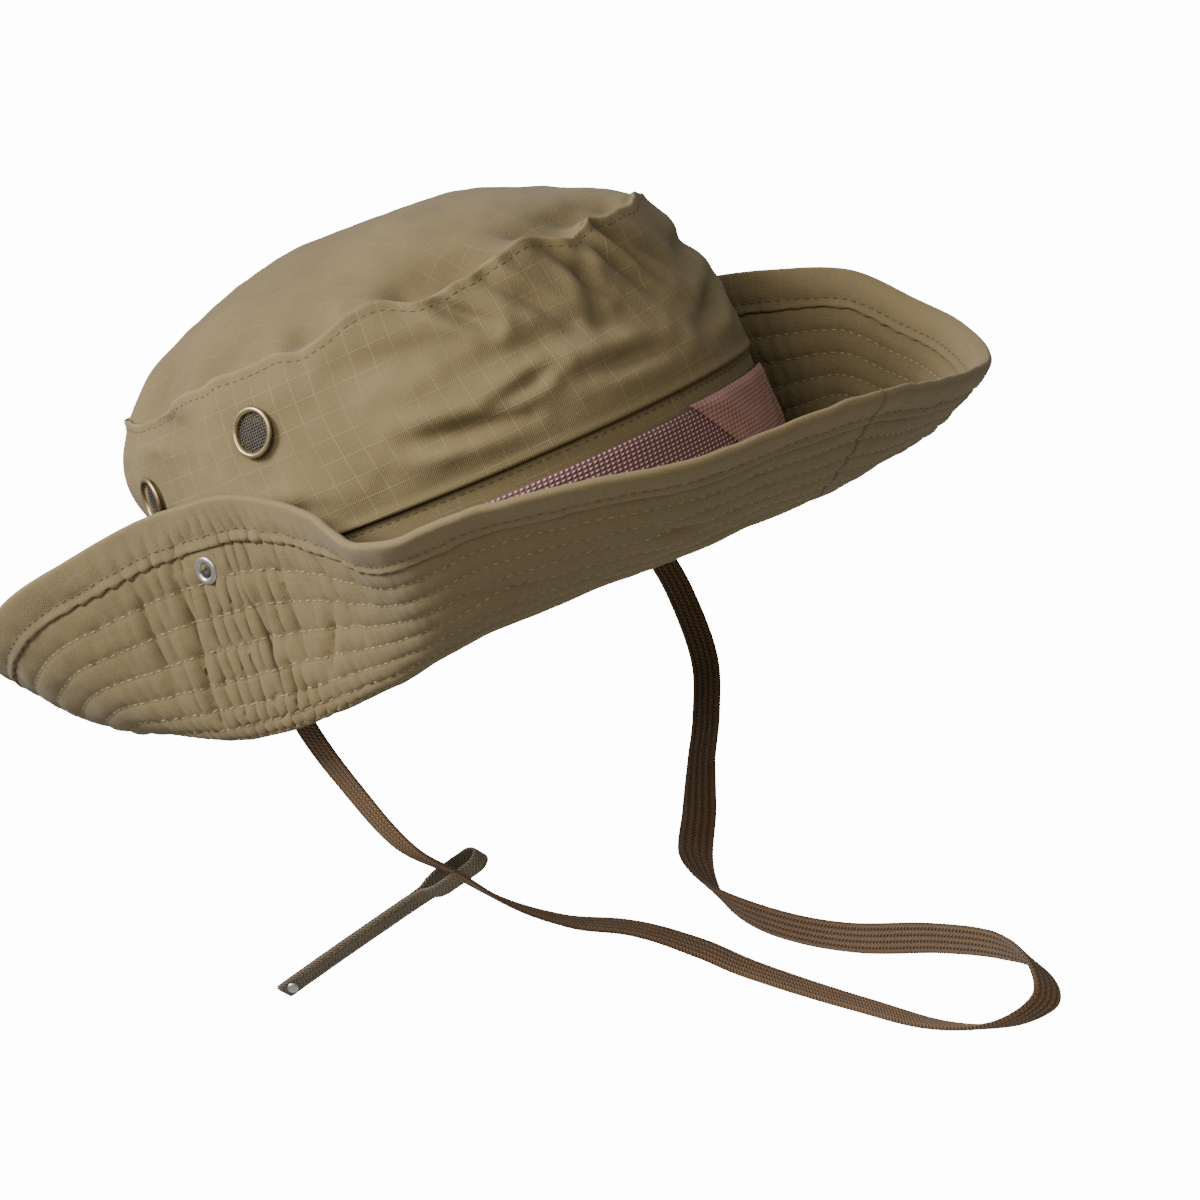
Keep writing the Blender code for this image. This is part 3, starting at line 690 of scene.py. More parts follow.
def make_anchors():
    """Folded tabs that hold each end of the lace to the sweatband, box-stitched."""
    for side in ("right", "left"):
        name = f"lace_anchor_{side}"
        low, high = (np.array(corner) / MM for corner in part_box(name))
        centre, size = (low + high) / 2, high - low
        bm = bmesh.new()
        bmesh.ops.create_cube(bm, size=1, matrix=Matrix.Diagonal((*(size * (0.8, 1, 1)), 1)))
        bmesh.ops.bevel(bm, geom=list(bm.edges), offset=0.9, segments=4, affect="EDGES")
        bmesh.ops.subdivide_edges(bm, edges=list(bm.edges), cuts=2, use_grid_fill=True)
        points = np.array([v.co for v in bm.verts])
        faces = [np.array([[v.index for v in f.verts]]) for f in bm.faces]
        bm.free()
        puff = points + unit(points) * (0.12 * noise(points, 2.6, 3))[:, None]
        piece = Piece(f"tab_{side}")
        piece.add(puff + centre, faces, "lining", cloth_at(points[:, 1], points[:, 2], 0))
        inward = np.array([1 if side == "right" else -1, 0, 0])
        half_y, half_z = size[1] / 2 - 2.2, size[2] / 2 - 2.2
        face = centre + inward * (size[0] * 0.4 + 0.05)
        signs = ((1, 1), (-1, 1), (-1, -1), (1, -1), (1, 1))
        corners = [face + (0, y * half_y, z * half_z) for y, z in signs]
        for start, end in zip(corners, corners[1:]):
            add_stitches(piece, "tab", "thread", np.linspace(start, end, 12), inward)
        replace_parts(piece.build("hat", "lining"), name)


KEEPER_WIDTH, KEEPER_WALL, KEEPER_LENGTH, KEEPER_SLOT = 5.6, 0.9, 68, 6.6
KEEPER_DIRECTION = (-0.58, 0.78, -0.24)


def make_keeper():
    """A narrow tape folded round the right strand, its two plies riveted at the far end."""
    lace = unit(np.array(LACE_ROUTE[6], float) - LACE_ROUTE[4])
    strap = unit(np.array(KEEPER_DIRECTION))
    thick = unit(np.cross(lace, strap))
    centre = np.array(LACE_ROUTE[5], float)
    radius = 3.3 + KEEPER_WALL / 2
    flat = KEEPER_WALL / 2 + 0.08
    turns = np.linspace(math.pi / 2, 3 * math.pi / 2, 15)
    nose = np.stack([-KEEPER_SLOT + radius * np.cos(turns), radius * np.sin(turns)], -1)
    lower = np.array([(-1.5, -radius), (1.5, -radius * 0.72), (4, -flat * 1.5), (8, -flat)])
    lower += (KEEPER_SLOT, 0)
    upper = lower[::-1] * (1, -1)
    tail = np.linspace(KEEPER_SLOT + 11, KEEPER_LENGTH - 0.5, 26)
    sag = 0.44 * np.sin(np.pi * (tail - KEEPER_SLOT - 8) / (KEEPER_LENGTH - KEEPER_SLOT))
    run_out, run_back = (np.stack([tail, sag + level], -1) for level in (-flat, flat))
    path = np.concatenate([run_back[::-1], upper, nose, lower, run_out])
    line = centre + path[:, :1] * strap + path[:, 1:] * thick
    normal = unit(np.cross(np.gradient(line, axis=0), lace))
    width = np.linspace(-0.5, 0.5, 13) * KEEPER_WIDTH
    swell = (KEEPER_WALL / 2) * np.sqrt(np.clip(1 - (width / (KEEPER_WIDTH / 2)) ** 8, 0.15, 1))
    middle = line[:, None] + width[None, :, None] * lace
    lift = normal[:, None] * swell[None, :, None]
    piece = Piece("keeper_tape")
    cloth = cloth_at(run_along(line)[:, None], width + 3)
    add_sheet(piece, middle + lift, middle - lift, "strap", cloth, np.zeros(cloth.shape[:2]))
    start, end = centre + strap * (KEEPER_SLOT + 8), centre + strap * (KEEPER_LENGTH - 8)
    for edge in (-KEEPER_WIDTH / 2 + 1, KEEPER_WIDTH / 2 - 1):
        for sign in (-1, 1):
            row = np.linspace(start, end, 30) + lace * edge + thick * sign * (flat + KEEPER_WALL / 2)
            add_stitches(piece, "tape", "dark_thread", row, thick * sign)
    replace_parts(piece.build("keeper", "strap"), "lace_keeper")
    top = flat + KEEPER_WALL / 2 + 0.05
    half = [(0.01, top + 0.95), (0.9, top + 0.9), (1.6, top + 0.55), (1.95, top), (0.75, top - 0.1)]
    place = place_at(centre + strap * (KEEPER_LENGTH - 4), thick, lace)
    make_turned("keeper_studs", "keeper", "steel", place, half + [(r, -h) for r, h in half[::-1]],
               "keeper_rivet", sides=32)


# ---------------- brim

LAYERS = ("upper_cloth", "interlining", "lower_cloth")
SNAP_CREASES = (
    # distance behind the snap and across the brim at each end, and depth and width in millimetres
    ((12, 72), (20, 34), 2.6, 2.3),
    ((9, 70), (13, 50), 1.1, 1.4),
    ((-21, 70), (-13, 30), 2.2, 1.8),
    ((-27, 66), (-21, 34), 1.3, 1.5),
    ((-34, 74), (-31, 44), 1.5, 2.2),
    ((28, 68), (34, 40), 1.2, 2.4),
    ((-52, 58), (-40, 40), 1.5, 2),
)
FRONT_CREASES = (
    # distance round from the front and across the brim at each end, and depth and width
    ((176, 70), (168, 48), 1.8, 2.2),
    ((160, 74), (156, 60), 1.4, 1.8),
    ((120, 50), (96, 42), 1.2, 3),
    ((70, 58), (44, 46), 1.1, 3.2),
)
BINDING_SECTION = (
    # share past the binding's inner edge, and height over the brim's middle
    (0, 0.7), (0, 1.5), (0.003, 1.85), (0.009, 1.95), (0.018, 1.8), (0.028, 1.5), (0.036, 1.4),
    (0.044, 1.5), (0.06, 1.75), (0.085, 1.85), (0.11, 1.8), (0.128, 1.65), (0.143, 1.35),
)
BINDING_TIP = ((0.6, 1), (0.95, 0.55), (1.05, 0), (0.95, -0.55), (0.6, -1))  # reach and height


def quilt(shares):
    """0 on a row of quilting or at the binding, 1 halfway between two rows."""
    place = (BINDING_SHARE - shares) / QUILT_STEP
    inside = (place > 0) & (place < QUILT_ROWS)
    return np.where(inside, np.sqrt(np.abs(np.sin(np.pi * place))), 0)


def brim_shape(shares):
    """The brim's creased middle surface, its normals, its own coordinates and how raised it is, all
    as closed grids, and the angle of each row."""
    turns = np.arange(BRIM_ROWS) / BRIM_ROWS
    points, angle = brim_middle(turns, shares)
    normals = grid_normals(points)
    run = run_along(brim_middle(turns, [0.6])[0][:, 0])
    order = np.argsort(angle)
    s = np.broadcast_to(np.asarray(shares), points.shape[:2])
    v = s * BRIM_WIDTH
    u = np.broadcast_to(run[:, None], v.shape)
    depth = smoothstep((s - 0.06) / 0.2) * (1.3 * noise(points, 36, 1) + 0.55 * noise(points, 15, 2))
    rippled = 0.34 * noise(points, 6, 7) * smoothstep((s - 0.2) / 0.2)
    front_right = smoothstep(1 - np.abs(angle - 34) / 34)[:, None]
    points = points - UP * (FRONT_DROP * front_right * s**2)[..., None]
    pull = np.zeros(v.shape)
    row_of = np.floor((BINDING_SHARE - s) / QUILT_STEP)
    for sign, snap_angle in ((1, SNAP_ANGLE), (-1, 360 - SNAP_ANGLE)):
        away = sign * (u - np.interp(snap_angle, angle[order], run[order]))
        window = np.exp(-((away + 8) / 38) ** 2) + 0.42 * np.exp(-(away / 75) ** 2)
        shift = 0.12 * np.sin(row_of * 2.4 + away * 0.05) + 0.55 * noise(points, 17, 5)
        ridge = np.abs(np.sin(np.pi * (away / PLEAT_PITCH + shift)))
        strength = window * (0.75 + 0.35 * noise(points, 12, 6)) * smoothstep((s - 0.2) / 0.18)
        near_snap = smoothstep((np.hypot(away, v - 72) - 4.5) / 4)
        pull += PLEAT_HEIGHT * strength * (ridge**0.65 - 0.62) * near_snap
        for crease in SNAP_CREASES:
            pull -= valley(away, v, crease) * near_snap
    for crease in FRONT_CREASES:
        pull -= valley(u, v, crease)
    pull *= smoothstep((1.02 - s) / 0.16)
    points = points + normals * (depth + rippled - pull)[..., None]
    # How raised the cloth is at its pleats and creases, which the material paints as highlight and shade.
    return points, grid_normals(points), u, v, np.clip(pull * 0.3, -1, 1), angle


def brim_quarters(angle):
    """Row indices of the four lengths of brim, each with the name of the flap on its side."""
    half, right, left = (nearest(angle, wanted) for wanted in (180, 91, 269))
    count = len(angle)
    return {
        "right_front": (np.arange(0, right + 1), "flap_right"),
        "right_back": (np.arange(right, half + 1), "flap_right"),
        "left_back": (np.arange(half, left + 1), "flap_left"),
        "left_front": (np.arange(left, count + 1) % count, "flap_left"),
    }


def fold_with(piece, name):
    """Bake a length of brim's transform into its mesh."""
    if name.endswith("front"):
        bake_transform(piece)
    else:
        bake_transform(piece)


def make_brim():
    """The quilted cloth in four lengths, then the binding and the strip by the crown."""
    shares = np.append(STRIP_SHARE - 0.012, np.linspace(STRIP_SHARE, 0.885, BRIM_COLUMNS))
    points, normals, u, v, raised, angle = brim_shape(shares)
    puff = quilt(np.broadcast_to(shares, v.shape))
    lumps = 0.18 * noise(points, 4.2, 8)
    upper = points + normals * (PLY + QUILT_PUFF * puff + lumps * puff)[..., None]
    lower = points - normals * (PLY + QUILT_PUFF * puff - lumps * puff)[..., None]
    # Darker along the quilting's grooves and in the pleats' creases, which is painted shade, and lighter on
    # the puffs and ridges, partly wear and partly painted highlight.
    wear_and_shade = raised + 0.35 * (puff - 0.75)
    quarters = brim_quarters(angle)
    made = []
    for name, (rows, body) in quarters.items():
        piece = Piece(f"brim_{name}")
        cloth = cloth_at(u[rows], v[rows], 0.35)
        add_sheet(piece, upper[rows], lower[rows], "brim", cloth, wear_and_shade[rows])
        for k in range(1, QUILT_ROWS):
            column = nearest(shares, BINDING_SHARE - QUILT_STEP * k)
            for face, sign in ((upper, 1), (lower, -1)):
                add_stitches(piece, "quilting", "thread", face[rows, column], sign * normals[rows, column],
                             sink=-0.06)
        quarter = piece.build(None, "ripstop")
        fold_with(quarter, name)
        made.append(quarter)
    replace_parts(made[0], *[f"brim_front_{layer}" for layer in LAYERS], *[f"flap_right_{n}" for n in LAYERS])
    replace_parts(made[2], *[f"brim_back_{layer}" for layer in LAYERS], *[f"flap_left_{n}" for n in LAYERS])
    make_binding(quarters)
    make_seam_strip()


def make_binding(quarters):
    """The tape folded over the brim's edge: a raised lip, a row of stitches and a soft rounded fold."""
    past, lift = np.array(BINDING_SECTION).T
    shares = BINDING_SHARE + past + np.arange(len(past)) * 1e-6
    points, normals, u, *_ = brim_shape(shares)
    across = unit(points[:, -1] - points[:, -3])
    tip = [points[:, -1] + across * reach + normals[:, -1] * rise for reach, rise in BINDING_TIP]
    ripple = 0.3 * noise(points, 3.4, 12) * np.exp(-((shares - BINDING_SHARE - 0.04) / 0.05) ** 2)
    height = normals * (lift + ripple)[..., None]
    upper, lower = points + height, points - height
    grid = np.concatenate([upper, np.stack(tip, axis=1), lower[:, ::-1]], axis=1)
    run = np.broadcast_to(u[:, :1], grid.shape[:2])
    span = run_along(grid, axis=1)
    # A painted shadow line at the binding's inner edge and painted shade in its stitch groove; lighter round
    # the fold at the edge, partly wear and partly painted highlight.
    wear_and_shade = np.concatenate([lift - 1.75, np.full(len(tip), 0.35), (lift - 1.75)[::-1]])
    wear_and_shade = np.broadcast_to(wear_and_shade, grid.shape[:2])
    stitch = nearest(shares, BINDING_SHARE + 0.036)
    made = []
    for name, (rows, body) in quarters.items():
        piece = Piece(f"binding_{name}")
        faces = [grid_faces(len(rows), grid.shape[1])]
        piece.add(grid[rows], faces, "binding", cloth_at(run[rows], span[rows], 0.5), wear_and_shade[rows] * 0.6)
        for face, sign in ((upper, 1), (lower, -1)):
            add_stitches(piece, "binding", "dark_thread", face[rows, stitch], sign * normals[rows, stitch])
        length = piece.build(None, "binding", recalc=False)
        fold_with(length, name)
        made.append(length)
    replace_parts(made[0], "brim_front_binding", "flap_right_binding")
    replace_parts(made[2], "brim_back_binding", "flap_left_binding")


def make_seam_strip():
    """The brim's inner strip, from its seam to the first row of quilting."""
    columns, stitch = 10, 7
    points, normals, u, v, raised, _ = brim_shape(np.linspace(0, STRIP_SHARE + 0.012, columns))
    piece = Piece("brim_seam_strip")
    swell = normals * (0.7 + 0.25 * np.sin(np.pi * np.linspace(0, 1, columns)))[:, None]
    cloth = cloth_at(u, v, 0.35)
    add_sheet(piece, points + swell, points - swell, "brim", cloth, raised, closed=True)
    for sign in (-1, 1):
        add_stitches(piece, "quilting", "thread", (points + sign * swell)[:, stitch],
                     sign * normals[:, stitch], closed=True)
    piece.build("hat", "ripstop")


# ---------------- crown

CROWN_CREASES = (
    # (angle, height) at each end on the wall, and depth and width in millimetres
    ((50, 52), (30, 47), 2.8, 3.2), ((34, 53), (20, 57), 1.8, 2.2),
    ((58, 79), (30, 74), 1.4, 4), ((36, 66), (4, 62), 1.8, 4.2),
    ((20, 52), (-4, 47), 2.2, 3.2), ((36, 88), (27, 74), 3, 2.4),
    ((24, 88), (13, 66), 2.2, 2.6), ((9, 89), (2, 70), 2.4, 2.4),
    ((0, 89), (-9, 64), 2.6, 2.6), ((-6, 88), (-22, 66), 2, 3),
    ((354, 89), (346, 66), 2.6, 2.6), ((362, 86), (368, 60), 1.4, 3),
    ((86, 47), (70, 43), 2, 3.4), ((108, 84), (92, 79), 1.8, 3.2),
    ((140, 60), (132, 84), 1.7, 3.6), ((166, 52), (150, 46), 2, 3.2),
    ((300, 47), (318, 52), 3, 3.2), ((332, 70), (300, 76), 2.2, 4),
    ((346, 48), (326, 58), 2, 3.2), ((246, 84), (258, 60), 1.8, 3.6),
    ((204, 50), (228, 46), 2.2, 3.2), ((190, 84), (196, 66), 1.7, 2.8),
)
TOP_DENTS = (
    # angle and share of the way out from the peak, depth, and radius in millimetres
    (33, 0.92, 4.6, 10), (25, 0.95, 4.4, 8), (41, 0.95, 2.2, 6), (8, 0.93, 3.6, 7),
    (354, 0.92, 3.8, 8), (343, 0.95, 2.6, 7), (62, 0.95, 1.8, 9), (84, 0.94, 1.5, 9),
    (112, 0.86, 2.2, 13), (160, 0.9, 1.8, 14), (205, 0.9, 2.6, 12), (255, 0.92, 2.8, 10),
    (310, 0.9, 3.2, 11),
)
SEAM_LIFTS = (
    # angle, and the height and half-width in degrees of a pucker that lifts or drops the top seam
    (48.5, 3.6, 6), (36, -2.2, 5), (27, -1.6, 4), (13.5, 2.6, 5), (1.5, -2.4, 4),
    (356, 1.2, 4), (61, -1.4, 5), (112, -5.5, 20), (152, -2.5, 20),
)


def seam_wave(angle):
    """How far the puckered top seam rises and stands in, in millimetres."""
    ring = band_point(angle, 0, 0)
    rise = 1.2 * noise(ring, 21, 41) + 0.8 * noise(ring, 8, 42)
    for where, height, spread in SEAM_LIFTS:
        apart = (angle - where + 180) % 360 - 180
        rise = rise + height * np.exp(-((apart / spread) ** 2))
    stand = 1.2 * noise(ring, 17, 43) + 0.6 * noise(ring, 6, 44)
    return rise, stand


def clear_of_metal(angle, z):
    """0 at a vent or snap, 1 away from it, so that the cloth lies flat under the metal."""
    clear = np.ones(np.broadcast(angle, z).shape)
    spots = [(a, h, 8.5) for a, h in VENTS.values()] + [(SNAP_ANGLE, SNAP_Z, 5.5)]
    for at, height, radius in spots:
        for where in (at, 360 - at):
            away = np.hypot(np.radians(angle - where) * WALL_RADIUS, z - height)
            clear = clear * smoothstep((away - radius) / 7)
    return clear


def make_crown_wall():
    """One panel round the crown, joined up the back, with its creases pressed in."""
    angles = 180 + 360 * np.arange(CROWN_ROWS + 1) / CROWN_ROWS
    share = np.linspace(0, 1, CROWN_COLUMNS)
    rise, stand = seam_wave(angles)
    near_seam = smoothstep((share - 0.72) / 0.28)
    z = FOOT_Z + (SEAM_Z + 0.5 - FOOT_Z) * share[None, :] + rise[:, None] * near_seam
    angle = np.broadcast_to(angles[:, None], z.shape)
    base = crown_point(angle, np.broadcast_to(FOOT_Z + (SEAM_Z - FOOT_Z) * share, z.shape))
    foot = smoothstep((share - 0.03) / 0.2)
    folds = 2 * noise(base * (1, 1, 1.5), 34, 21) + 1.1 * noise(base, 14, 22)
    folds = folds + 0.35 * noise(base, 5.5, 23)
    creases = np.zeros(z.shape)
    for (a0, z0), (a1, z1), depth, width in CROWN_CREASES:
        for turn in (0, 360):
            ends = ((a0 + turn) * WALL_PER_DEGREE, z0), ((a1 + turn) * WALL_PER_DEGREE, z1)
            creases += valley(angle * WALL_PER_DEGREE, z, (*ends, depth, width))
    pucker = 0.45 * noise(band_point(angle, 0, 0), 5, 26) * smoothstep((share - 0.8) / 0.18)
    lift = clear_of_metal(angle, z) * (foot * (1 - 0.6 * near_seam) * folds - foot * creases + pucker)
    lift = lift + stand[:, None] * near_seam + 0.5 * smoothstep((share - 0.955) / 0.03)
    lift = lift + 0.45 * smoothstep((0.06 - share) / 0.04)
    out = outward(angle)
    outer = base + out * lift[..., None]
    outer[..., 2] = z
    run = np.radians(angle) * WALL_RADIUS
    # Painted shade in the creases and hollows and painted highlight on the bulges; lighter at the proud top
    # seam and at the foot, partly wear and partly painted highlight.
    wear_and_shade = np.clip(0.22 * lift, -0.5, 0.5)
    wear_and_shade = wear_and_shade + 0.5 * smoothstep((share - 0.95) / 0.03) + 0.5 * smoothstep((0.05 - share) / 0.03)
    piece = Piece("crown_wall_panel")
    add_sheet(piece, outer, outer - out * CLOTH, "crown", cloth_at(run, z + 0.04 * run), wear_and_shade)
    seam = int(round(0.955 * (CROWN_COLUMNS - 1)))
    add_stitches(piece, "crown", "dark_thread", outer[:, seam], out[:, seam])
    for row in (2, -3):
        add_stitches(piece, "crown", "dark_thread", outer[row, 4:-2], out[row, 4:-2])
    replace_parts(piece.build("hat", "ripstop"), "crown_wall")


def make_crown_top():
    """The domed oval panel, dented and puckered, its small middle closed with a fan of triangles."""
    angles = 360 * np.arange(TOP_ROWS) / TOP_ROWS
    share = np.linspace(0.02, 1, TOP_COLUMNS) ** 0.8
    rise, stand = seam_wave(angles)
    near_seam = smoothstep((share - 0.82) / 0.18)
    grow = crown_grow(SEAM_Z) - 0.5
    half = np.array([HALF_WIDTH + grow, HALF_LENGTH + grow])

    def spot(turn, reach):
        return -half[0] * reach * np.sin(turn), -half[1] * reach * np.cos(turn) + LEAN

    turn = np.radians(angles)[:, None]
    x, y = spot(turn, share)
    z = SEAM_Z - 0.1 + (DOME_RISE + 1) * (1 - share**DOME_POWER) + 0 * turn
    points = np.stack([x, y, z], axis=-1)
    soft = 1.7 * noise(points, 40, 51) + 1.1 * noise(points, 18, 52) + 0.3 * noise(points, 6.5, 53)
    pucker = 0.8 * noise(points * (1, 1, 0), 6.5, 54) * smoothstep((share - 0.82) / 0.16)
    dents = np.zeros(z.shape)
    for angle, at, depth, radius in TOP_DENTS:
        centre_x, centre_y = spot(math.radians(angle), at)
        dents += depth * np.exp(-((x - centre_x) ** 2 + (y - centre_y) ** 2) / radius**2)
    normals = grid_normals(points)
    normals = np.where(normals[..., 2:] < 0, -normals, normals)
    lift = soft * (1 - 0.4 * near_seam) - dents * (1 - 0.6 * smoothstep((share - 0.97) / 0.03)) + pucker
    lift = lift * smoothstep((1.005 - share) / 0.055)
    outer = points + normals * lift[..., None]
    outer[..., 2] += rise[:, None] * near_seam
    outer = outer + outward(angles[:, None]) * (stand[:, None] * near_seam)[..., None]
    inner = outer - normals * CLOTH
    piece = Piece("crown_top_panel")
    # Darker in the dents, which is painted shade, and lighter on the bulges, partly wear and partly painted
    # highlight.
    wear_and_shade = np.clip(0.25 * lift, -0.6, 0.5)
    add_sheet(piece, outer, inner, "crown", cloth_at(x, y, 0.45), wear_and_shade, closed=True)
    peak = outer[:, 0].mean(axis=0)
    k = np.arange(TOP_ROWS)
    fan = np.stack([k, (k + 1) % TOP_ROWS, np.full(TOP_ROWS, TOP_ROWS)], -1)
    for layer, drop in ((outer, 0), (inner, CLOTH)):
        ring = np.concatenate([layer[:, 0], [peak - (0, 0, drop)]])
        piece.add(ring, [fan], "crown", cloth_at(ring[:, 0], ring[:, 1], 0.45))
    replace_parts(piece.build("hat", "ripstop", recalc=False), "crown_top")


def upright_band(name, slot, grow, thick, heights, seed, grid, wave, start=0, sweep=360):
    """A wavy upright band round the oval, with its outer face, its outward directions and its heights."""
    closed = sweep >= 360
    angles = start + sweep * np.arange(BAND_ROWS if closed else BAND_ROWS + 1) / BAND_ROWS
    z = np.linspace(*heights, BAND_COLUMNS)
    angle = np.broadcast_to(angles[:, None], (len(angles), BAND_COLUMNS))
    base = band_point(angle, grow, z)
    out = outward(angle)
    edge = np.sqrt(np.clip(1 - np.abs(np.linspace(-1, 1, BAND_COLUMNS)) ** 14, 0.1, 1))
    lift = wave * noise(base, 16, seed)
    outer = base + out * (thick * edge + lift)[..., None]
    inner = base + out * np.minimum(lift, 0)[..., None]
    piece = Piece(name)
    cloth = cloth_at(np.radians(angle) * WALL_RADIUS, z, grid)
    # Lighter on the waves' bulges and darker in their hollows: painted highlight and shade.
    add_sheet(piece, outer, inner, slot, cloth, 0.15 * lift, closed=closed)
    return piece, outer, out, z


def make_bands():
    """The base band that backs the wall, and the sweatband inside it."""
    piece, outer, out, z = upright_band("base_band", "crown", -CLOTH, CLOTH + 0.3, (BRIM_SEAM_Z, 36), 61,
                                        0.8, 0.18)
    column = nearest(z, 33)
    add_stitches(piece, "base", "dark_thread", outer[:, column], out[:, column], closed=True)
    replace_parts(piece.build("hat", "ripstop"), "crown_base_band")

    piece, _, out, _ = upright_band("sweat_band", "lining", -3.6, 1.2, (BRIM_SEAM_Z, 33), 62, 0, 0.15)
    inward = band_point(360 * np.arange(BAND_ROWS) / BAND_ROWS, -3.62, 6)
    add_stitches(piece, "sweatband", "thread", inward, -out[:, 0], closed=True)
    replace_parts(piece.build("hat", "lining"), "sweatband")


def make_webbing():
    """The woven band, and its end folded under into a slanting point and stitched down."""
    band, *_ = upright_band("woven_band", "webbing", 0.4, 1.3, (4.5, 28.5), 63, 0, 0.25,
                            start=WEBBING_START, sweep=358.8)
    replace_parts(band.build("hat", "webbing"), "webbing_band")
    fold = Piece("woven_band_end")
    rows, columns = 44, 30
    share = np.linspace(0, 1, rows)[:, None]
    height = np.linspace(0, 1, columns)[None, :]
    angle = WEBBING_START - 0.5 + WEBBING_FOLD * (0.62 + 0.38 * height) * share
    z = 3.9 + 25.2 * height + 0.9 * share * (height - 0.5)
    base = band_point(angle, 1.9, z)
    away = outward(angle)
    crumple = 0.4 * noise(base, 7, 71) + 0.8 * np.exp(-((share - 0.55 - 0.3 * height) / 0.1) ** 2)
    rim = np.minimum(np.minimum(share, 1 - share) * 12, np.minimum(height, 1 - height) * 12)
    swell = np.sqrt(np.clip(rim, 0.05, 1)) + crumple * np.clip(rim, 0, 1)
    top = base + away * swell[..., None]
    cloth = cloth_at(np.radians(angle) * WALL_RADIUS, z, 0)
    # Lighter on the crumple's bulge: painted highlight.
    add_sheet(fold, top, base - away * 0.25, "webbing_fold", cloth, 0.3 * crumple)
    row = int(rows * 0.24)
    add_stitches(fold, "webbing", "dark_thread", top[row, 2:-2], away[row, 2:-2])
    fold.build("hat", "webbing")


# ---------------- metal

def add_wire_screen(piece, place, radius, dome):
    """A woven wire screen, domed in the middle."""
    step, sides, wire = 0.85, 4, 0.19
    turn = np.arange(sides + 1) % sides * math.tau / sides + math.pi / 4
    for axis in (0, 1):
        side = np.eye(3)[1 - axis]
        ring = wire * (np.cos(turn)[:, None] * side + np.sin(turn)[:, None] * UP)
        for k, offset in enumerate(np.arange(-radius + step / 2, radius, step)):
            half = math.sqrt(max(radius**2 - offset**2, 0.05))
            run = np.linspace(-half, half, max(int(4 * half / step), 4))
            wave = 0.13 * np.sin(np.pi * (run / step + k + axis))
            line = np.zeros((len(run), 3))
            line[:, axis], line[:, 1 - axis] = run, offset
            line[:, 2] = dome * (1 - (run**2 + offset**2) / radius**2) + wave
            piece.add(moved(line[:, None] + ring[None], place), [grid_faces(len(run), sides + 1)], "dark")


RIM = [(5.7, -2.6), (6.15, -2.6), (6.15, 0.55), (7.4, 0.5), (7.75, 0.9), (7.4, 1.5), (6.7, 1.65), (5.9, 1.1)]
WASHER = [(6.3, -2.85), (8, -2.85), (8, -2.2), (6.3, -2.2)]
# A dark disc behind each vent's screen: painted shade for the hat's dark inside.
SCREEN_SHADE_DISC = [(0.01, -0.75), (5.9, -0.75), (5.9, -0.45), (0.01, -0.45)]
STUD = [(0.01, -2.9), (1.2, -2.9), (1.2, 0.5), (4.8, 0.5), (5, 0.9), (3, 1.25), (2, 1.4),
        (1.75, 1.9), (2, 2.35), (1.3, 2.6), (0.01, 2.65)]
STUD_BACK = [(1.5, -2.9), (3.2, -2.9), (3.2, -2.1), (1.5, -2.1)]
CUP = [(2.6, 1.6), (5.4, 1.6), (5.45, 2.1), (4.9, 2.55), (4, 3), (3.2, 3.05), (2.7, 2.8)]
RING = [(2.2, 1.5), (2.5, 1.5), (2.5, -1.6), (4.3, -1.7), (4.5, -2.1), (4.1, -2.6), (3.3, -2.8), (2.3, -2.3)]
# A dark disc in the snap eyelet's hole: painted shade.
RING_SHADE_DISC = [(0.01, -1.7), (2.4, -1.7), (2.4, -2), (0.01, -2)]


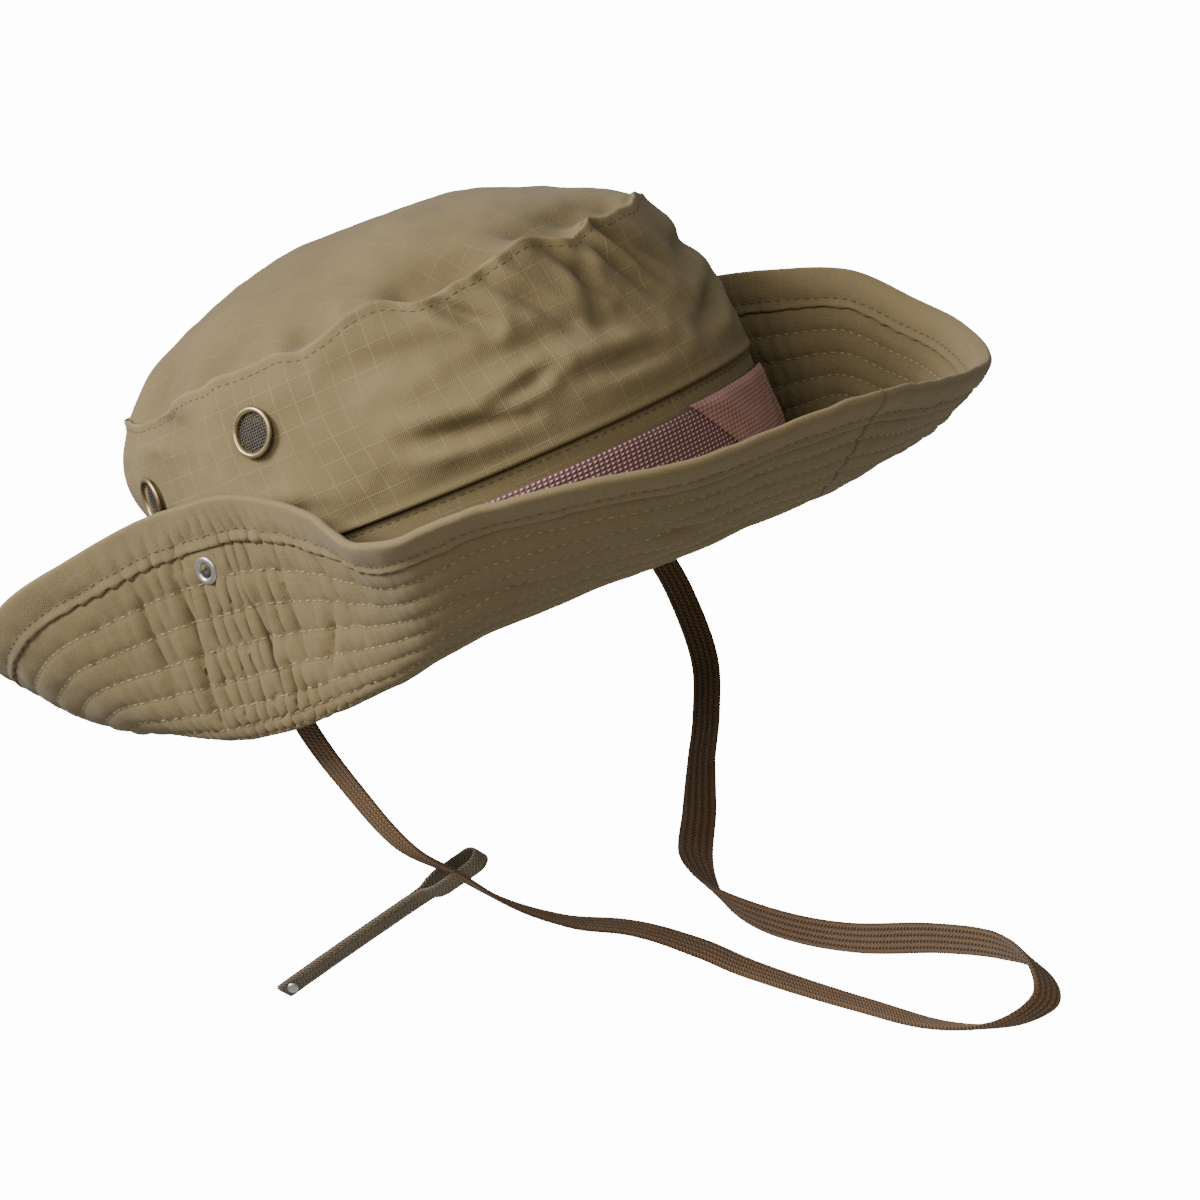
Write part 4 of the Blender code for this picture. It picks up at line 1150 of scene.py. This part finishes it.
def make_vents():
    """Four eyelets in the crown wall, each with a screen and a washer."""
    for side in ("right", "left"):
        for which, (angle, z) in VENTS.items():
            place = crown_place(angle if side == "right" else 360 - angle, z)
            name = f"vent_{side}_{which}"
            make_turned(f"{name}_eyelet", "hat", "brass", place, RIM, f"{name}_rim", 5, 0.3, 64)
            screen = Piece(f"{name}_screen")
            lifted = place @ Matrix.Translation((0, 0, -0.1))
            # The dark disc of painted shade behind the screen.
            add_lathe(screen, SCREEN_SHADE_DISC, lifted, "hole", 40)
            add_wire_screen(screen, lifted, 5.8, 0.5)
            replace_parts(screen.build("hat", "mesh", recalc=False), f"{name}_mesh")
            make_turned(f"{name}_back", "hat", "brass", place, WASHER, f"{name}_washer", sides=48)


def box_middle(name):
    low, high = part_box(name)
    return (np.array(low) + np.array(high)) / 2 / MM


def make_snaps():
    """Stud and backing on the crown wall; socket and outer ring on the folding side of the brim."""
    points, _ = brim_middle(np.arange(1440) / 1440, np.linspace(0.3, 1, 141))
    normals = grid_normals(points)
    for side in ("right", "left"):
        body, snap = f"flap_{side}", f"snap_{side}"
        spot, stud, back = (box_middle(f"{snap}_{name}") for name in ("ring", "stud", "backing"))
        here = np.unravel_index(np.argmin(np.linalg.norm(points - spot, axis=-1)), points.shape[:2])
        up = normals[here]
        brim = place_at(spot - up * ((spot - points[here]) @ up), up, UP)
        out = unit(stud - back)
        angle = math.degrees(math.atan2(-stud[0] / HALF_WIDTH, -stud[1] / HALF_LENGTH)) % 360
        wall = crown_point(np.array(angle), np.array(stud[2]))
        crown = place_at(stud + out * ((wall - stud) @ out), out, UP)
        make_turned(f"{snap}_post", "hat", "brass", crown, STUD, f"{snap}_stud", steps=3)
        make_turned(f"{snap}_back", "hat", "brass", crown, STUD_BACK, f"{snap}_backing")
        make_turned(f"{snap}_cup", body, "brass", brim, CUP, f"{snap}_socket", steps=3)
        eyelet = Piece(f"{snap}_eyelet")
        add_lathe(eyelet, rounded(RING, 4, 0.3), brim, "steel", 48)
        # Painted shade filling the eyelet's hole.
        add_lathe(eyelet, RING_SHADE_DISC, brim, "hole", 32)
        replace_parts(eyelet.build(body, "steel"), f"{snap}_ring")


# ---------------- the whole hat

make_camera()
make_light()
make_floor()
lace, lace_line, lace_length = make_lace()
make_anchors()
make_keeper()
make_brim()
make_crown_wall()
make_crown_top()
make_bands()
make_webbing()
make_vents()
make_snaps()
